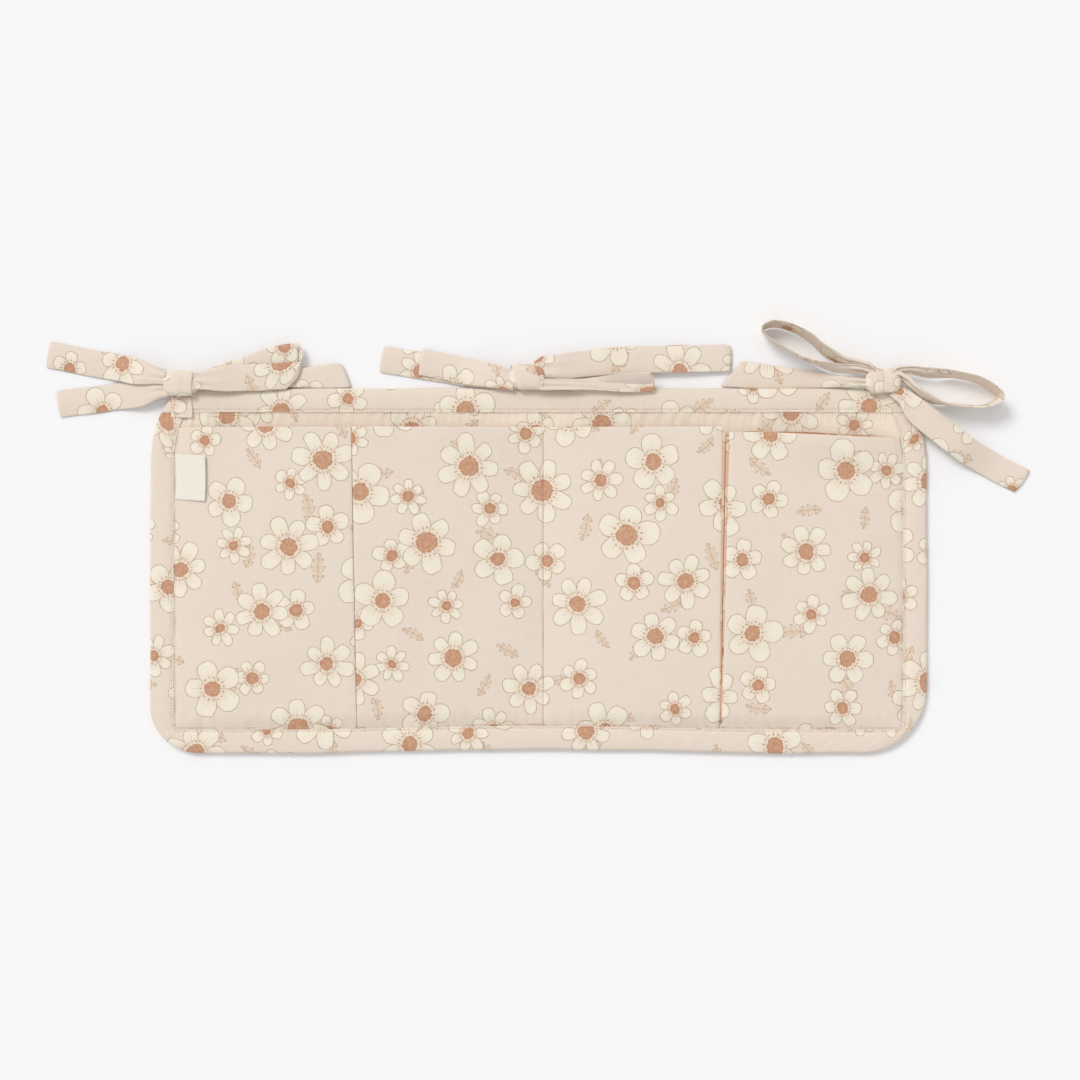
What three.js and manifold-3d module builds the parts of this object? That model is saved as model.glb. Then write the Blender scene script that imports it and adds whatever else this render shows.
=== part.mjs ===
// Bedside caddy: a padded cloth panel with four pleated pockets and three tied bows along its top edge.
// Millimetres. The panel lies flat on its back: +X to the right, +Y towards the bows, +Z up.
// The origin is the centre of the panel's underside.

import * as THREE from 'three';
import { mergeVertices } from 'three/addons/utils/BufferGeometryUtils.js';
import Module from 'manifold-3d';

const wasm = await Module();
wasm.setup();

// Panel outline
const panelWidth = 600;
const panelHeight = 282;
const topCornerRun = 31;
const topCornerDrop = 63;
const bottomLeftCornerRadius = 37;
const bottomRightCornerRadius = 51;
const bottomEdgeArch = 3;
const bottomArchInset = 105;
const bottomInnerRadius = 4;

// Cloth, padding and edge binding
const clothThickness = 0.7;
const waddingThickness = 3;
const bindingThickness = 0.8;
const bindingWidth = 18.5;
const bindingEdgeRadius = 2.4;
const bindingEdgeWall = 1.5;
const edgeClearance = 0.5;
const liningStepRun = 3.2;
const seatGap = 0.3;
const bindingSplitGap = 0.4;

// Pockets
const pocketThickness = 1.2;
const mouthDrop = 12;
const pocketGape = 7;
const pocketSideGap = 0.6;
const seamLipHeight = 7;
const rightMouthDip = 8;
const pleatDepth = 18;
const pleatThickness = 0.7;
const pleatFoldWall = 1.5;
const pleatFoldGap = 0.8;
const pleatOpenGapTop = 5.8;
const pleatOpenGapBottom = 2.2;
const pleatLean = 4;
const pleatEndInset = 9;

// Places of the pocket divisions, as shares of half the panel's width
const leftPleatShare = -0.473;
const centreSeamShare = 0.012;
const rightPleatShare = 0.474;

// Side label
const labelWidth = 23;
const labelLength = 35;
const labelThickness = 0.8;
const labelDrop = 21;

// Folded end of the header band at the left corner
const endTabWidth = 15.4;
const endTabLength = 15.5;
const endTabThickness = 1.2;

// Tie straps and knots
const strapWidth = 20.5;
const strapThickness = 1.4;
const strapFoldGap = 0.6;
const strapPuff = 2.2;
const knotLength = 21.5;
const knotHeight = 9;
const rootReach = 8;
const strapStandoff = 0.4;
const strapSeat = 0.5;
const strapDropRun = 45;
const strapTurnRun = 16;

// Each tie's place from the panel's edges, and how far its knot laps over the header
const leftTieInset = 24.7;
const rightTieInset = 34.7;
const centreTieShift = 8.9;
const leftKnotLap = 6.2;
const centreKnotLap = 1.5;
const rightKnotLap = 4.6;

// Real lengths of the tails and loops as they lie
const leftHighTailLength = 94;
const leftLowTailLength = 85;
const leftFrontLoopLength = 83;
const leftBackLoopLength = 115;
const centreBackTailLength = 102;
const centreFrontTailLength = 72;
const centreLongLoopLength = 146;
const centreShortLoopLength = 87;
const rightLowTailLength = 105;
const rightUpLoopLength = 87.5;
const rightRoundLoopLength = 80;
const rightSlantTailLength = 119;

// Levels through the panel's thickness
const halfWidth = panelWidth / 2;
const halfHeight = panelHeight / 2;
const liningTop = clothThickness;
const waddingBottom = liningTop + seatGap;
const waddingTop = waddingBottom + waddingThickness;
const frontClothBottom = waddingTop + seatGap;
const frontClothTop = frontClothBottom + clothThickness;
const leafBottom = frontClothTop + seatGap;
const leafTop = leafBottom + bindingThickness;
const liningEdgeRise = bindingThickness + seatGap;
const fillInset = bindingEdgeWall + edgeClearance;
const stepInset = bindingWidth + edgeClearance;
const flatInset = stepInset + liningStepRun;

// Counts of steps
const cornerSteps = 6;
const longEdgeSteps = 12;
const shortEdgeSteps = 4;

// Colours and finish
const clothColour = 0xe8dace;
const labelColour = 0xf0ece0;
const waddingColour = 0xf7f5f0;
const pleatColour = 0xdcb49a;

function fabric(colour, roughness) {
  return new THREE.MeshStandardMaterial({ color: colour, roughness, metalness: 0 });
}

// A solid from points and triangles, with its faces turned outwards
function solidFrom(points, triangles) {
  let volume = 0;
  for (const [a, b, c] of triangles) {
    const cross = new THREE.Vector3().crossVectors(points[b], points[c]);
    volume += points[a].dot(cross);
  }
  const indices = [];
  for (const [a, b, c] of triangles) {
    if (volume > 0) {
      indices.push(a, b, c);
    } else {
      indices.push(a, c, b);
    }
  }
  const geometry = new THREE.BufferGeometry();
  geometry.setAttribute('position', new THREE.Float32BufferAttribute(points.flatMap((p) => p.toArray()), 3));
  geometry.setIndex(indices);
  return geometry;
}

// Triangles of the band between two rings of equal length
function bandBetween(first, second, count) {
  const triangles = [];
  for (let k = 0; k < count; k += 1) {
    const next = (k + 1) % count;
    triangles.push([first + k, first + next, second + next]);
    triangles.push([first + k, second + next, second + k]);
  }
  return triangles;
}

// Rings joined one after another and closed at both ends by fans
function loftRings(rings) {
  const count = rings[0].length;
  const points = rings.flat();
  const triangles = [];
  for (let r = 0; r + 1 < rings.length; r += 1) {
    triangles.push(...bandBetween(r * count, (r + 1) * count, count));
  }
  const lastStart = (rings.length - 1) * count;
  const firstCentre = points.length;
  points.push(centreOf(rings[0]));
  points.push(centreOf(rings[rings.length - 1]));
  for (let k = 0; k < count; k += 1) {
    const next = (k + 1) % count;
    triangles.push([firstCentre, next, k]);
    triangles.push([firstCentre + 1, lastStart + k, lastStart + next]);
  }
  return solidFrom(points, triangles);
}

function centreOf(ring) {
  const centre = new THREE.Vector3();
  for (const point of ring) {
    centre.add(point);
  }
  return centre.divideScalar(ring.length);
}

// Rings joined into an endless band, the last one to the first
function loftLoop(rings) {
  const count = rings[0].length;
  const triangles = [];
  for (let r = 0; r < rings.length; r += 1) {
    triangles.push(...bandBetween(r * count, ((r + 1) % rings.length) * count, count));
  }
  return solidFrom(rings.flat(), triangles);
}

// A sheet over a grid of shares, between a low and a high surface
function sheetBetween(acrossShares, alongShares, lowAt, highAt) {
  const rings = alongShares.map((along) => {
    const high = acrossShares.map((across) => highAt(across, along));
    const low = acrossShares.map((across) => lowAt(across, along)).reverse();
    return [...high, ...low];
  });
  const columns = acrossShares.length;
  const count = 2 * columns;
  const points = rings.flat();
  const triangles = [];
  for (let r = 0; r + 1 < rings.length; r += 1) {
    triangles.push(...bandBetween(r * count, (r + 1) * count, count));
  }
  for (const [ring, front] of [[0, true], [rings.length - 1, false]]) {
    for (let c = 0; c + 1 < columns; c += 1) {
      const a = ring * count + c;
      const b = a + 1;
      const d = ring * count + count - 1 - c;
      const e = d - 1;
      triangles.push(front ? [a, e, b] : [a, b, e]);
      triangles.push(front ? [a, d, e] : [a, e, d]);
    }
  }
  return solidFrom(points, triangles);
}

// Cuts one closed shape with another
function toManifold(geometry) {
  const bare = geometry.clone();
  bare.deleteAttribute('normal');
  bare.deleteAttribute('uv');
  const merged = mergeVertices(bare);
  return new wasm.Manifold(
    new wasm.Mesh({
      numProp: 3,
      vertProperties: new Float32Array(merged.attributes.position.array),
      triVerts: new Uint32Array(merged.index.array),
    }),
  );
}

function fromManifold(manifold) {
  const mesh = manifold.getMesh();
  const geometry = new THREE.BufferGeometry();
  geometry.setAttribute('position', new THREE.BufferAttribute(new Float32Array(mesh.vertProperties), 3));
  geometry.setIndex(new THREE.BufferAttribute(new Uint32Array(mesh.triVerts), 1));
  return geometry;
}

function smooth(share) {
  const t = Math.min(Math.max(share, 0), 1);
  return t * t * (3 - 2 * t);
}

function smoothBetween(from, to, share) {
  return smooth((share - from) / (to - from));
}

function mix(from, to, share) {
  return from + (to - from) * share;
}

// The panel's outline, drawn in from its edge, counter-clockwise from the bottom-right corner
function archAt(x) {
  const reach = halfWidth - bottomArchInset;
  const share = Math.min(Math.abs(x) / reach, 1);
  return bottomEdgeArch * (1 - share * share) ** 2;
}

// The bottom corners turn tighter towards the binding's inner edge, which is nearly square
function panelOutline(inset) {
  const inwardShare = Math.min(inset / bindingWidth, 1);
  const innerTurn = bindingWidth + bottomInnerRadius;
  const rightTurn = mix(bottomRightCornerRadius, innerTurn, inwardShare);
  const leftTurn = mix(bottomLeftCornerRadius, innerTurn, inwardShare);
  const corners = [
    { sideX: 1, sideY: -1, run: rightTurn, drop: rightTurn, steps: shortEdgeSteps },
    { sideX: 1, sideY: 1, run: topCornerRun, drop: topCornerDrop, steps: longEdgeSteps },
    { sideX: -1, sideY: 1, run: topCornerRun, drop: topCornerDrop, steps: shortEdgeSteps },
    { sideX: -1, sideY: -1, run: leftTurn, drop: leftTurn, steps: longEdgeSteps },
  ];
  const turning = corners.map((corner, index) => {
    const arc = [];
    for (let k = 0; k <= cornerSteps; k += 1) {
      const angle = ((index - 1 + k / cornerSteps) * Math.PI) / 2;
      const x = corner.sideX * (halfWidth - corner.run) + Math.cos(angle) * (corner.run - inset);
      const y = corner.sideY * (halfHeight - corner.drop) + Math.sin(angle) * (corner.drop - inset);
      arc.push([x, y]);
    }
    return arc;
  });
  const outline = [];
  turning.forEach((arc, index) => {
    outline.push(...arc);
    const [fromX, fromY] = arc[cornerSteps];
    const [toX, toY] = turning[(index + 1) % turning.length][0];
    const { steps } = corners[index];
    for (let k = 1; k < steps; k += 1) {
      outline.push([mix(fromX, toX, k / steps), mix(fromY, toY, k / steps)]);
    }
  });
  return outline.map(([x, y]) => [x, y < 0 ? y + archAt(x) * smooth(-y / halfHeight) : y]);
}

function ringAt(inset, z) {
  return panelOutline(inset).map(([x, y]) => new THREE.Vector3(x, y, z));
}

// The panel's layers
function backLining() {
  const edgeTop = liningEdgeRise + clothThickness;
  return loftRings([
    ringAt(flatInset, 0),
    ringAt(stepInset, liningEdgeRise),
    ringAt(fillInset, liningEdgeRise),
    ringAt(fillInset, edgeTop),
    ringAt(stepInset, edgeTop),
    ringAt(flatInset, clothThickness),
  ]);
}

function wadding() {
  const edgeBottom = liningEdgeRise + waddingBottom;
  return loftRings([
    ringAt(flatInset, waddingBottom),
    ringAt(stepInset, edgeBottom),
    ringAt(fillInset, edgeBottom),
    ringAt(fillInset, waddingTop),
  ]);
}

function frontCloth() {
  return loftRings([ringAt(fillInset, frontClothBottom), ringAt(fillInset, frontClothTop)]);
}

// The binding: a strip folded round the edge, back leaf, fold and front leaf in one section
function bindingRing() {
  const nearEdgeShare = 0.29;
  const near = bindingEdgeRadius * nearEdgeShare;
  const section = [
    [bindingWidth, 0],
    [bindingEdgeRadius, 0],
    [near, near],
    [0, bindingEdgeRadius],
    [0, leafTop - bindingEdgeRadius],
    [near, leafTop - near],
    [bindingEdgeRadius, leafTop],
    [bindingWidth, leafTop],
    [bindingWidth, leafBottom],
    [bindingEdgeWall, leafBottom],
    [bindingEdgeWall, bindingThickness],
    [bindingWidth, bindingThickness],
  ];
  const lines = section.map(([inset, z]) => ringAt(inset, z));
  const count = lines[0].length;
  const rings = [];
  for (let k = 0; k < count; k += 1) {
    rings.push(lines.map((line) => line[k]));
  }
  return toManifold(loftLoop(rings));
}

// The header band is the ring's top, cut off square just under its inner edge
const headerLowerEdge = halfHeight - bindingWidth - bindingSplitGap;

function slabFrom(lowY, highY) {
  const box = new THREE.BoxGeometry(panelWidth + bindingWidth, highY - lowY, leafTop + bindingWidth);
  box.translate(0, (lowY + highY) / 2, 0);
  return toManifold(box);
}

function headerBand(ring) {
  return fromManifold(ring.intersect(slabFrom(headerLowerEdge, panelHeight)));
}

function edgeBinding(ring) {
  return fromManifold(ring.intersect(slabFrom(-panelHeight, headerLowerEdge - bindingSplitGap)));
}

// A small tab where the header band's raw end is folded over at the left corner
function headerEndTab() {
  const box = new THREE.BoxGeometry(endTabWidth, endTabLength, endTabThickness);
  const y = halfHeight - leftKnotLap - seatGap - endTabLength / 2;
  box.translate(-halfWidth + leftTieInset, y, leafTop + seatGap + endTabThickness / 2);
  return box;
}

// Pocket fronts. Each is sewn down at one side and along the bottom, and its other side ends in a pleat.
// u runs from the sewn side to the pleat's fold edge, v from the bottom seam to the mouth.
const mouthY = halfHeight - bindingWidth - mouthDrop;
const pocketHeight = mouthY + halfHeight - bindingWidth;
const lipShare = seamLipHeight / pocketHeight;
const riseAcrossPower = 3;
const riseAlongPower = 4;
const bottomRiseShare = 0.38;

function leftPleatLine(v) {
  return leftPleatShare * halfWidth + pleatLean * (1 - v) - pleatLean / 2;
}

function rightPleatLine(v) {
  return rightPleatShare * halfWidth - pleatLean * (1 - v) + pleatLean / 2;
}

function leftFoldHalfGap() {
  return pleatFoldGap / 2;
}

function rightFoldHalfGap(v) {
  return mix(pleatOpenGapBottom, pleatOpenGapTop, v) / 2;
}

const sideSeamX = halfWidth - bindingWidth - pocketSideGap;
const centreSeamX = centreSeamShare * halfWidth;

const leftPleat = { line: leftPleatLine, halfGap: leftFoldHalfGap };
const rightPleat = { line: rightPleatLine, halfGap: rightFoldHalfGap };

const pockets = [
  { name: '1', sewnX: -sideSeamX, side: 1, dip: 0, ...leftPleat },
  { name: '2', sewnX: centreSeamX - pocketSideGap, side: -1, dip: 0, ...leftPleat },
  { name: '3', sewnX: centreSeamX + pocketSideGap, side: 1, dip: 0, ...rightPleat },
  { name: '4', sewnX: sideSeamX, side: -1, dip: rightMouthDip, ...rightPleat },
];

function foldX(pocket, v) {
  return pocket.line(v) - pocket.side * pocket.halfGap(v);
}

function pocketPlace(pocket, u, v) {
  const x = mix(pocket.sewnX, foldX(pocket, v), u);
  const bottom = -halfHeight + bindingWidth + pocketSideGap + archAt(x);
  const top = mouthY - pocket.dip * (1 - smooth(u) / 2);
  return new THREE.Vector3(x, mix(bottom, top, v), leafBottom);
}

function pocketRise(u, v) {
  const across = 1 - (1 - u) ** riseAcrossPower;
  const along = 1 - (1 - v) ** riseAlongPower;
  return pocketGape * across * mix(bottomRiseShare, 1, along);
}

function pocketTop(pocket, u, v) {
  const place = pocketPlace(pocket, u, v);
  place.z += pocketRise(u, v) + pocketThickness;
  return place;
}

function pocketUnder(pocket, u, v) {
  const place = pocketPlace(pocket, u, v);
  place.z += pocketRise(u, v) * Math.min(v / lipShare, 1);
  return place;
}

function pocketFront(pocket) {
  const acrossShares = [0, 0.04, 0.1, 0.18, 0.28, 0.4, 0.55, 0.7, 0.85, 1];
  const alongShares = [0, lipShare, 0.12, 0.22, 0.35, 0.5, 0.7, 0.85, 1];
  const sheet = sheetBetween(
    acrossShares,
    alongShares,
    (u, v) => pocketUnder(pocket, u, v),
    (u, v) => pocketTop(pocket, u, v),
  );
  return fromManifold(toManifold(sheet).intersect(withinBinding()));
}

// All the room inside the binding's inner edge, which trims the side pockets' outer corners
function withinBinding() {
  const inset = bindingWidth + pocketSideGap;
  return toManifold(loftRings([ringAt(inset, 0), ringAt(inset, panelHeight)]));
}

// A pleat is the cloth folded in under the pocket's free side, a V lying on its side, open at the divider
function pocketPleat(pocket) {
  const endShare = pleatEndInset / pocketHeight;
  const alongShares = [endShare, 0.2, 0.4, 0.6, 0.8, 1 - endShare / 2];
  const rings = alongShares.map((v) => {
    const place = pocketPlace(pocket, 1, v);
    const top = pocketUnder(pocket, 1, v).z - seatGap;
    const middle = (leafBottom + top) / 2;
    const atSeam = pocket.line(v) - pocket.side * seatGap;
    const atFold = place.x;
    const atApex = place.x - pocket.side * pleatDepth;
    const insideApex = atApex + pocket.side * pleatFoldWall;
    const section = [
      [atSeam, leafBottom],
      [atApex, middle - pleatThickness / 2],
      [atApex, middle + pleatThickness / 2],
      [atFold, top],
      [atFold, top - pleatThickness],
      [insideApex, middle],
      [atSeam, leafBottom + pleatThickness],
    ];
    return section.map(([x, z]) => new THREE.Vector3(x, place.y, z));
  });
  return loftPleat(rings);
}

// The V section isn't convex, so its two ends are closed by triangles chosen leg by leg
function loftPleat(rings) {
  const count = rings[0].length;
  const triangles = [];
  for (let r = 0; r + 1 < rings.length; r += 1) {
    triangles.push(...bandBetween(r * count, (r + 1) * count, count));
  }
  const last = (rings.length - 1) * count;
  const endFaces = [
    [0, 1, 5],
    [0, 5, 6],
    [1, 2, 5],
    [2, 3, 4],
    [2, 4, 5],
  ];
  for (const [a, b, c] of endFaces) {
    triangles.push([a, c, b]);
    triangles.push([last + a, last + b, last + c]);
  }
  return solidFrom(rings.flat(), triangles);
}

// The label lies on the first pocket front, sewn in at its left edge
function sideLabel() {
  const pocket = pockets[0];
  const highV = 1 - labelDrop / pocketHeight;
  const lowV = highV - labelLength / pocketHeight;
  const width = foldX(pocket, highV) - pocket.sewnX;
  const firstU = pocketSideGap / width;
  const lastU = firstU + labelWidth / width;
  const lift = (a, b, extra) => {
    const place = pocketTop(pocket, mix(firstU, lastU, a), mix(lowV, highV, b));
    place.z += seatGap + extra;
    return place;
  };
  const acrossShares = [0, 0.25, 0.5, 0.75, 1];
  const alongShares = [0, 0.5, 1];
  return sheetBetween(
    acrossShares,
    alongShares,
    (a, b) => lift(a, b, 0),
    (a, b) => lift(a, b, labelThickness),
  );
}

// Ties. A tie's straps leave its knot towards a heading, in degrees from +X. Each station of a strap is a
// place along the heading, aside from it, and up, with the strap's width and the direction it lies in.
const knotBreadthShare = 0.94;
const rootWidthShare = 0.75;
const frontLoopLiftShare = 2.4;
const rootLeanShare = 1;
const farLeanShare = 0.2;
const knotBreadth = strapWidth * knotBreadthShare;
const knotBottom = leafTop + seatGap;
const knotMiddle = knotBottom + knotHeight / 2;
const strapPitch = strapThickness + strapFoldGap;
const tableZ = strapStandoff + strapThickness / 2;
const headerZ = leafTop + seatGap + strapThickness / 2;
const frontLoopZ = tableZ + frontLoopLiftShare * strapPitch;
const rootWidth = strapWidth * rootWidthShare;

const ties = {
  left: { x: -halfWidth + leftTieInset, lap: leftKnotLap },
  centre: { x: -centreTieShift, lap: centreKnotLap },
  right: { x: halfWidth - rightTieInset, lap: rightKnotLap },
};

function knotCentre(tie) {
  return new THREE.Vector3(tie.x, halfHeight - tie.lap + knotBreadth / 2, knotMiddle);
}

function knot(tie) {
  const lengthShares = [-1, -0.88, -0.5, 0.5, 0.88, 1];
  const sizeShares = [0.8, 0.95, 1, 1, 0.95, 0.8];
  const sides = 18;
  const roundPower = 2.8;
  const centre = knotCentre(tie);
  const rings = lengthShares.map((share, index) => {
    const ring = [];
    for (let k = 0; k < sides; k += 1) {
      const angle = (k / sides) * Math.PI * 2;
      const c = Math.cos(angle);
      const s = Math.sin(angle);
      const reach = (Math.abs(c) ** roundPower + Math.abs(s) ** roundPower) ** (1 / roundPower);
      const radius = sizeShares[index] / reach;
      const y = centre.y + (radius * c * knotBreadth) / 2;
      const z = centre.z + (radius * s * knotHeight) / 2;
      ring.push(new THREE.Vector3(centre.x + (share * knotLength) / 2, y, z));
    }
    return ring;
  });
  return loftRings(rings);
}

// A strap as a ribbon with a rounded flat section. Normals follow the path, across is given.
function ribbon(stations) {
  const halfShares = [-1, -0.5, 0, 0.5, 1];
  const thinShares = [0.6, 1, 1, 1, 0.6];
  const last = stations.length - 1;
  const rings = stations.map((station, index) => {
    const before = stations[Math.max(index - 1, 0)].centre;
    const after = stations[Math.min(index + 1, last)].centre;
    const tangent = new THREE.Vector3().subVectors(after, before);
    const normal = new THREE.Vector3().crossVectors(tangent, station.across).normalize();
    const pointAt = (k, side) => {
      const across = (halfShares[k] * station.width) / 2;
      const out = (side * thinShares[k] * strapThickness) / 2;
      return station.centre.clone().addScaledVector(station.across, across).addScaledVector(normal, out);
    };
    const upper = halfShares.map((_, k) => pointAt(k, 1));
    const lower = halfShares.map((_, k) => pointAt(k, -1)).reverse();
    return [...upper, ...lower];
  });
  return loftRings(rings);
}

// Directions of a strap that leaves the knot at a heading
function headingFrame(heading) {
  const angle = THREE.MathUtils.degToRad(heading);
  return {
    along: new THREE.Vector3(Math.cos(angle), Math.sin(angle), 0),
    aside: new THREE.Vector3(-Math.sin(angle), Math.cos(angle), 0),
    up: new THREE.Vector3(0, 0, 1),
  };
}

// Where a strap starts: just off the end of its knot, aside and above or below the knot's middle
function strapStart({ tie, side, rootAsideShare, rootUpShare }) {
  const start = knotCentre(tie);
  start.x += side * (knotLength / 2 + strapSeat);
  start.y += rootAsideShare * strapWidth;
  start.z += rootUpShare * knotHeight;
  return start;
}

// A strap is gathered at its knot and opens to its full width by a share of its length
function widthAt(share, gatherShare, rootShare, farShare) {
  return strapWidth * mix(rootShare, farShare, smooth(share / gatherShare));
}

// A strap leaves square to the knot's end and turns to its heading
function acrossAt(frame, side, distance) {
  const square = new THREE.Vector3(0, side, 0);
  return square.lerp(frame.aside, smooth(distance / strapTurnRun)).normalize();
}

// A tail: one strap's free end, dropping from the knot to what it lies on
function tail(strap) {
  const { side, length, gatherShare, dropFromShare } = strap;
  const start = strapStart(strap);
  const frame = headingFrame(strap.heading);
  const dropToShare = dropFromShare + strapDropRun / length;
  const slantFromShare = 0.8;
  const alongShares = [0, 0.08, 0.16, 0.25, 0.35, 0.45, 0.56, 0.68, 0.8, 0.9, 1];
  const stations = alongShares.map((share) => {
    const asideShare = strap.tipAsideShare * smooth(share) + strap.bowShare * Math.sin(Math.PI * share);
    const centre = start.clone().addScaledVector(frame.along, share * length);
    centre.addScaledVector(frame.aside, asideShare * strapWidth);
    centre.z = mix(start.z, strap.restZ, smoothBetween(dropFromShare, dropToShare, share));
    const across = acrossAt(frame, side, share * length);
    across.addScaledVector(frame.along, strap.slantShare * smoothBetween(slantFromShare, 1, share));
    return { centre, across, width: widthAt(share, gatherShare, strap.rootWidthShare, 1) };
  });
  return ribbon(stations);
}

// A flat loop: out along the lower strand, a fold at the far end, and back along the upper strand
function flatLoop(strap) {
  const { side, length, gatherShare, spreadFromShare, spreadToShare } = strap;
  const start = strapStart(strap);
  const frame = headingFrame(strap.heading);
  const dropShare = strapDropRun / length;
  const slantFromShare = 0.6;
  const outShares = [0, 0.06, 0.12, 0.2, 0.3, 0.45, 0.6, 0.75, 0.88, 0.97];
  const foldShares = [0.12, 0.5, 0.88];
  const strand = (share, form, lift) => {
    const centre = start.clone().addScaledVector(frame.along, share * form.reachShare * length);
    const spread = smoothBetween(spreadFromShare, spreadToShare, share);
    centre.addScaledVector(frame.aside, form.asideShare * strapWidth * spread);
    centre.z = mix(start.z, strap.restZ, smooth(share / dropShare)) + lift;
    const across = acrossAt(frame, side, share * length);
    across.addScaledVector(frame.along, form.slantShare * smoothBetween(slantFromShare, 1, share));
    return { centre, across, width: widthAt(share, gatherShare, form.rootWidthShare, form.farWidthShare) };
  };
  const liftAt = (share) => strapPitch + strap.puff * Math.sin(Math.PI * share);
  const out = outShares.map((share) => strand(share, strap.low, 0));
  const back = outShares.map((share) => strand(share, strap.high, liftAt(share))).reverse();
  const foldLow = out[out.length - 1];
  const foldHigh = back[0];
  const bulge = (1 - outShares[outShares.length - 1]) * length;
  const fold = foldShares.map((turn) => {
    const centre = foldLow.centre.clone().lerp(foldHigh.centre, turn);
    centre.addScaledVector(frame.along, bulge * Math.sin(Math.PI * turn));
    const across = foldLow.across.clone().lerp(foldHigh.across, turn);
    return { centre, across, width: mix(foldLow.width, foldHigh.width, turn) };
  });
  return ribbon([...out, ...fold, ...back]);
}

// A loop that stands on its edge along a plan route of shares of its length and its width. It leaves the
// knot lying over to one side, and leans a little outwards further on.
function standingLoop(strap) {
  const { side, length, gatherShare, routeShares } = strap;
  const start = strapStart(strap);
  const frame = headingFrame(strap.heading);
  const restZ = strapStandoff + strapWidth / 2;
  const centres = routeShares.map(([alongShare, asideShare]) => {
    const centre = start.clone().addScaledVector(frame.along, alongShare * length);
    centre.addScaledVector(frame.aside, asideShare * strapWidth);
    centre.z = mix(start.z, restZ, smooth(alongShare / gatherShare));
    return centre;
  });
  const outwards = (direction) => {
    const normal = new THREE.Vector3().crossVectors(frame.up, direction).normalize();
    return normal.multiplyScalar(side);
  };
  const last = centres.length - 1;
  const stations = centres.map((centre, index) => {
    const [alongShare] = routeShares[index];
    const before = centres[Math.max(index - 1, 0)];
    const after = centres[Math.min(index + 1, last)];
    const far = outwards(new THREE.Vector3().subVectors(after, before)).multiplyScalar(farLeanShare);
    const across = new THREE.Vector3(0, rootLeanShare, 0);
    across.lerp(far, smooth(alongShare / gatherShare)).add(frame.up).normalize();
    return { centre, across, width: widthAt(alongShare, gatherShare, strap.rootWidthShare, 1) };
  });
  return ribbon(stations);
}

// The short root of a tie, held in the header's top seam and rising into the knot
function tieRoot(tie) {
  const edgeMiddle = leafTop / 2;
  const underKnot = knotBottom - seatGap - strapThickness / 2;
  const reachShares = [0, 0.35, 0.7, 1];
  const across = new THREE.Vector3(-1, 0, 0);
  const stations = reachShares.map((share) => {
    const z = mix(edgeMiddle, underKnot, smooth(share));
    const centre = new THREE.Vector3(tie.x, halfHeight + seatGap + share * rootReach, z);
    return { centre, across, width: rootWidth };
  });
  return ribbon(stations);
}

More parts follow.
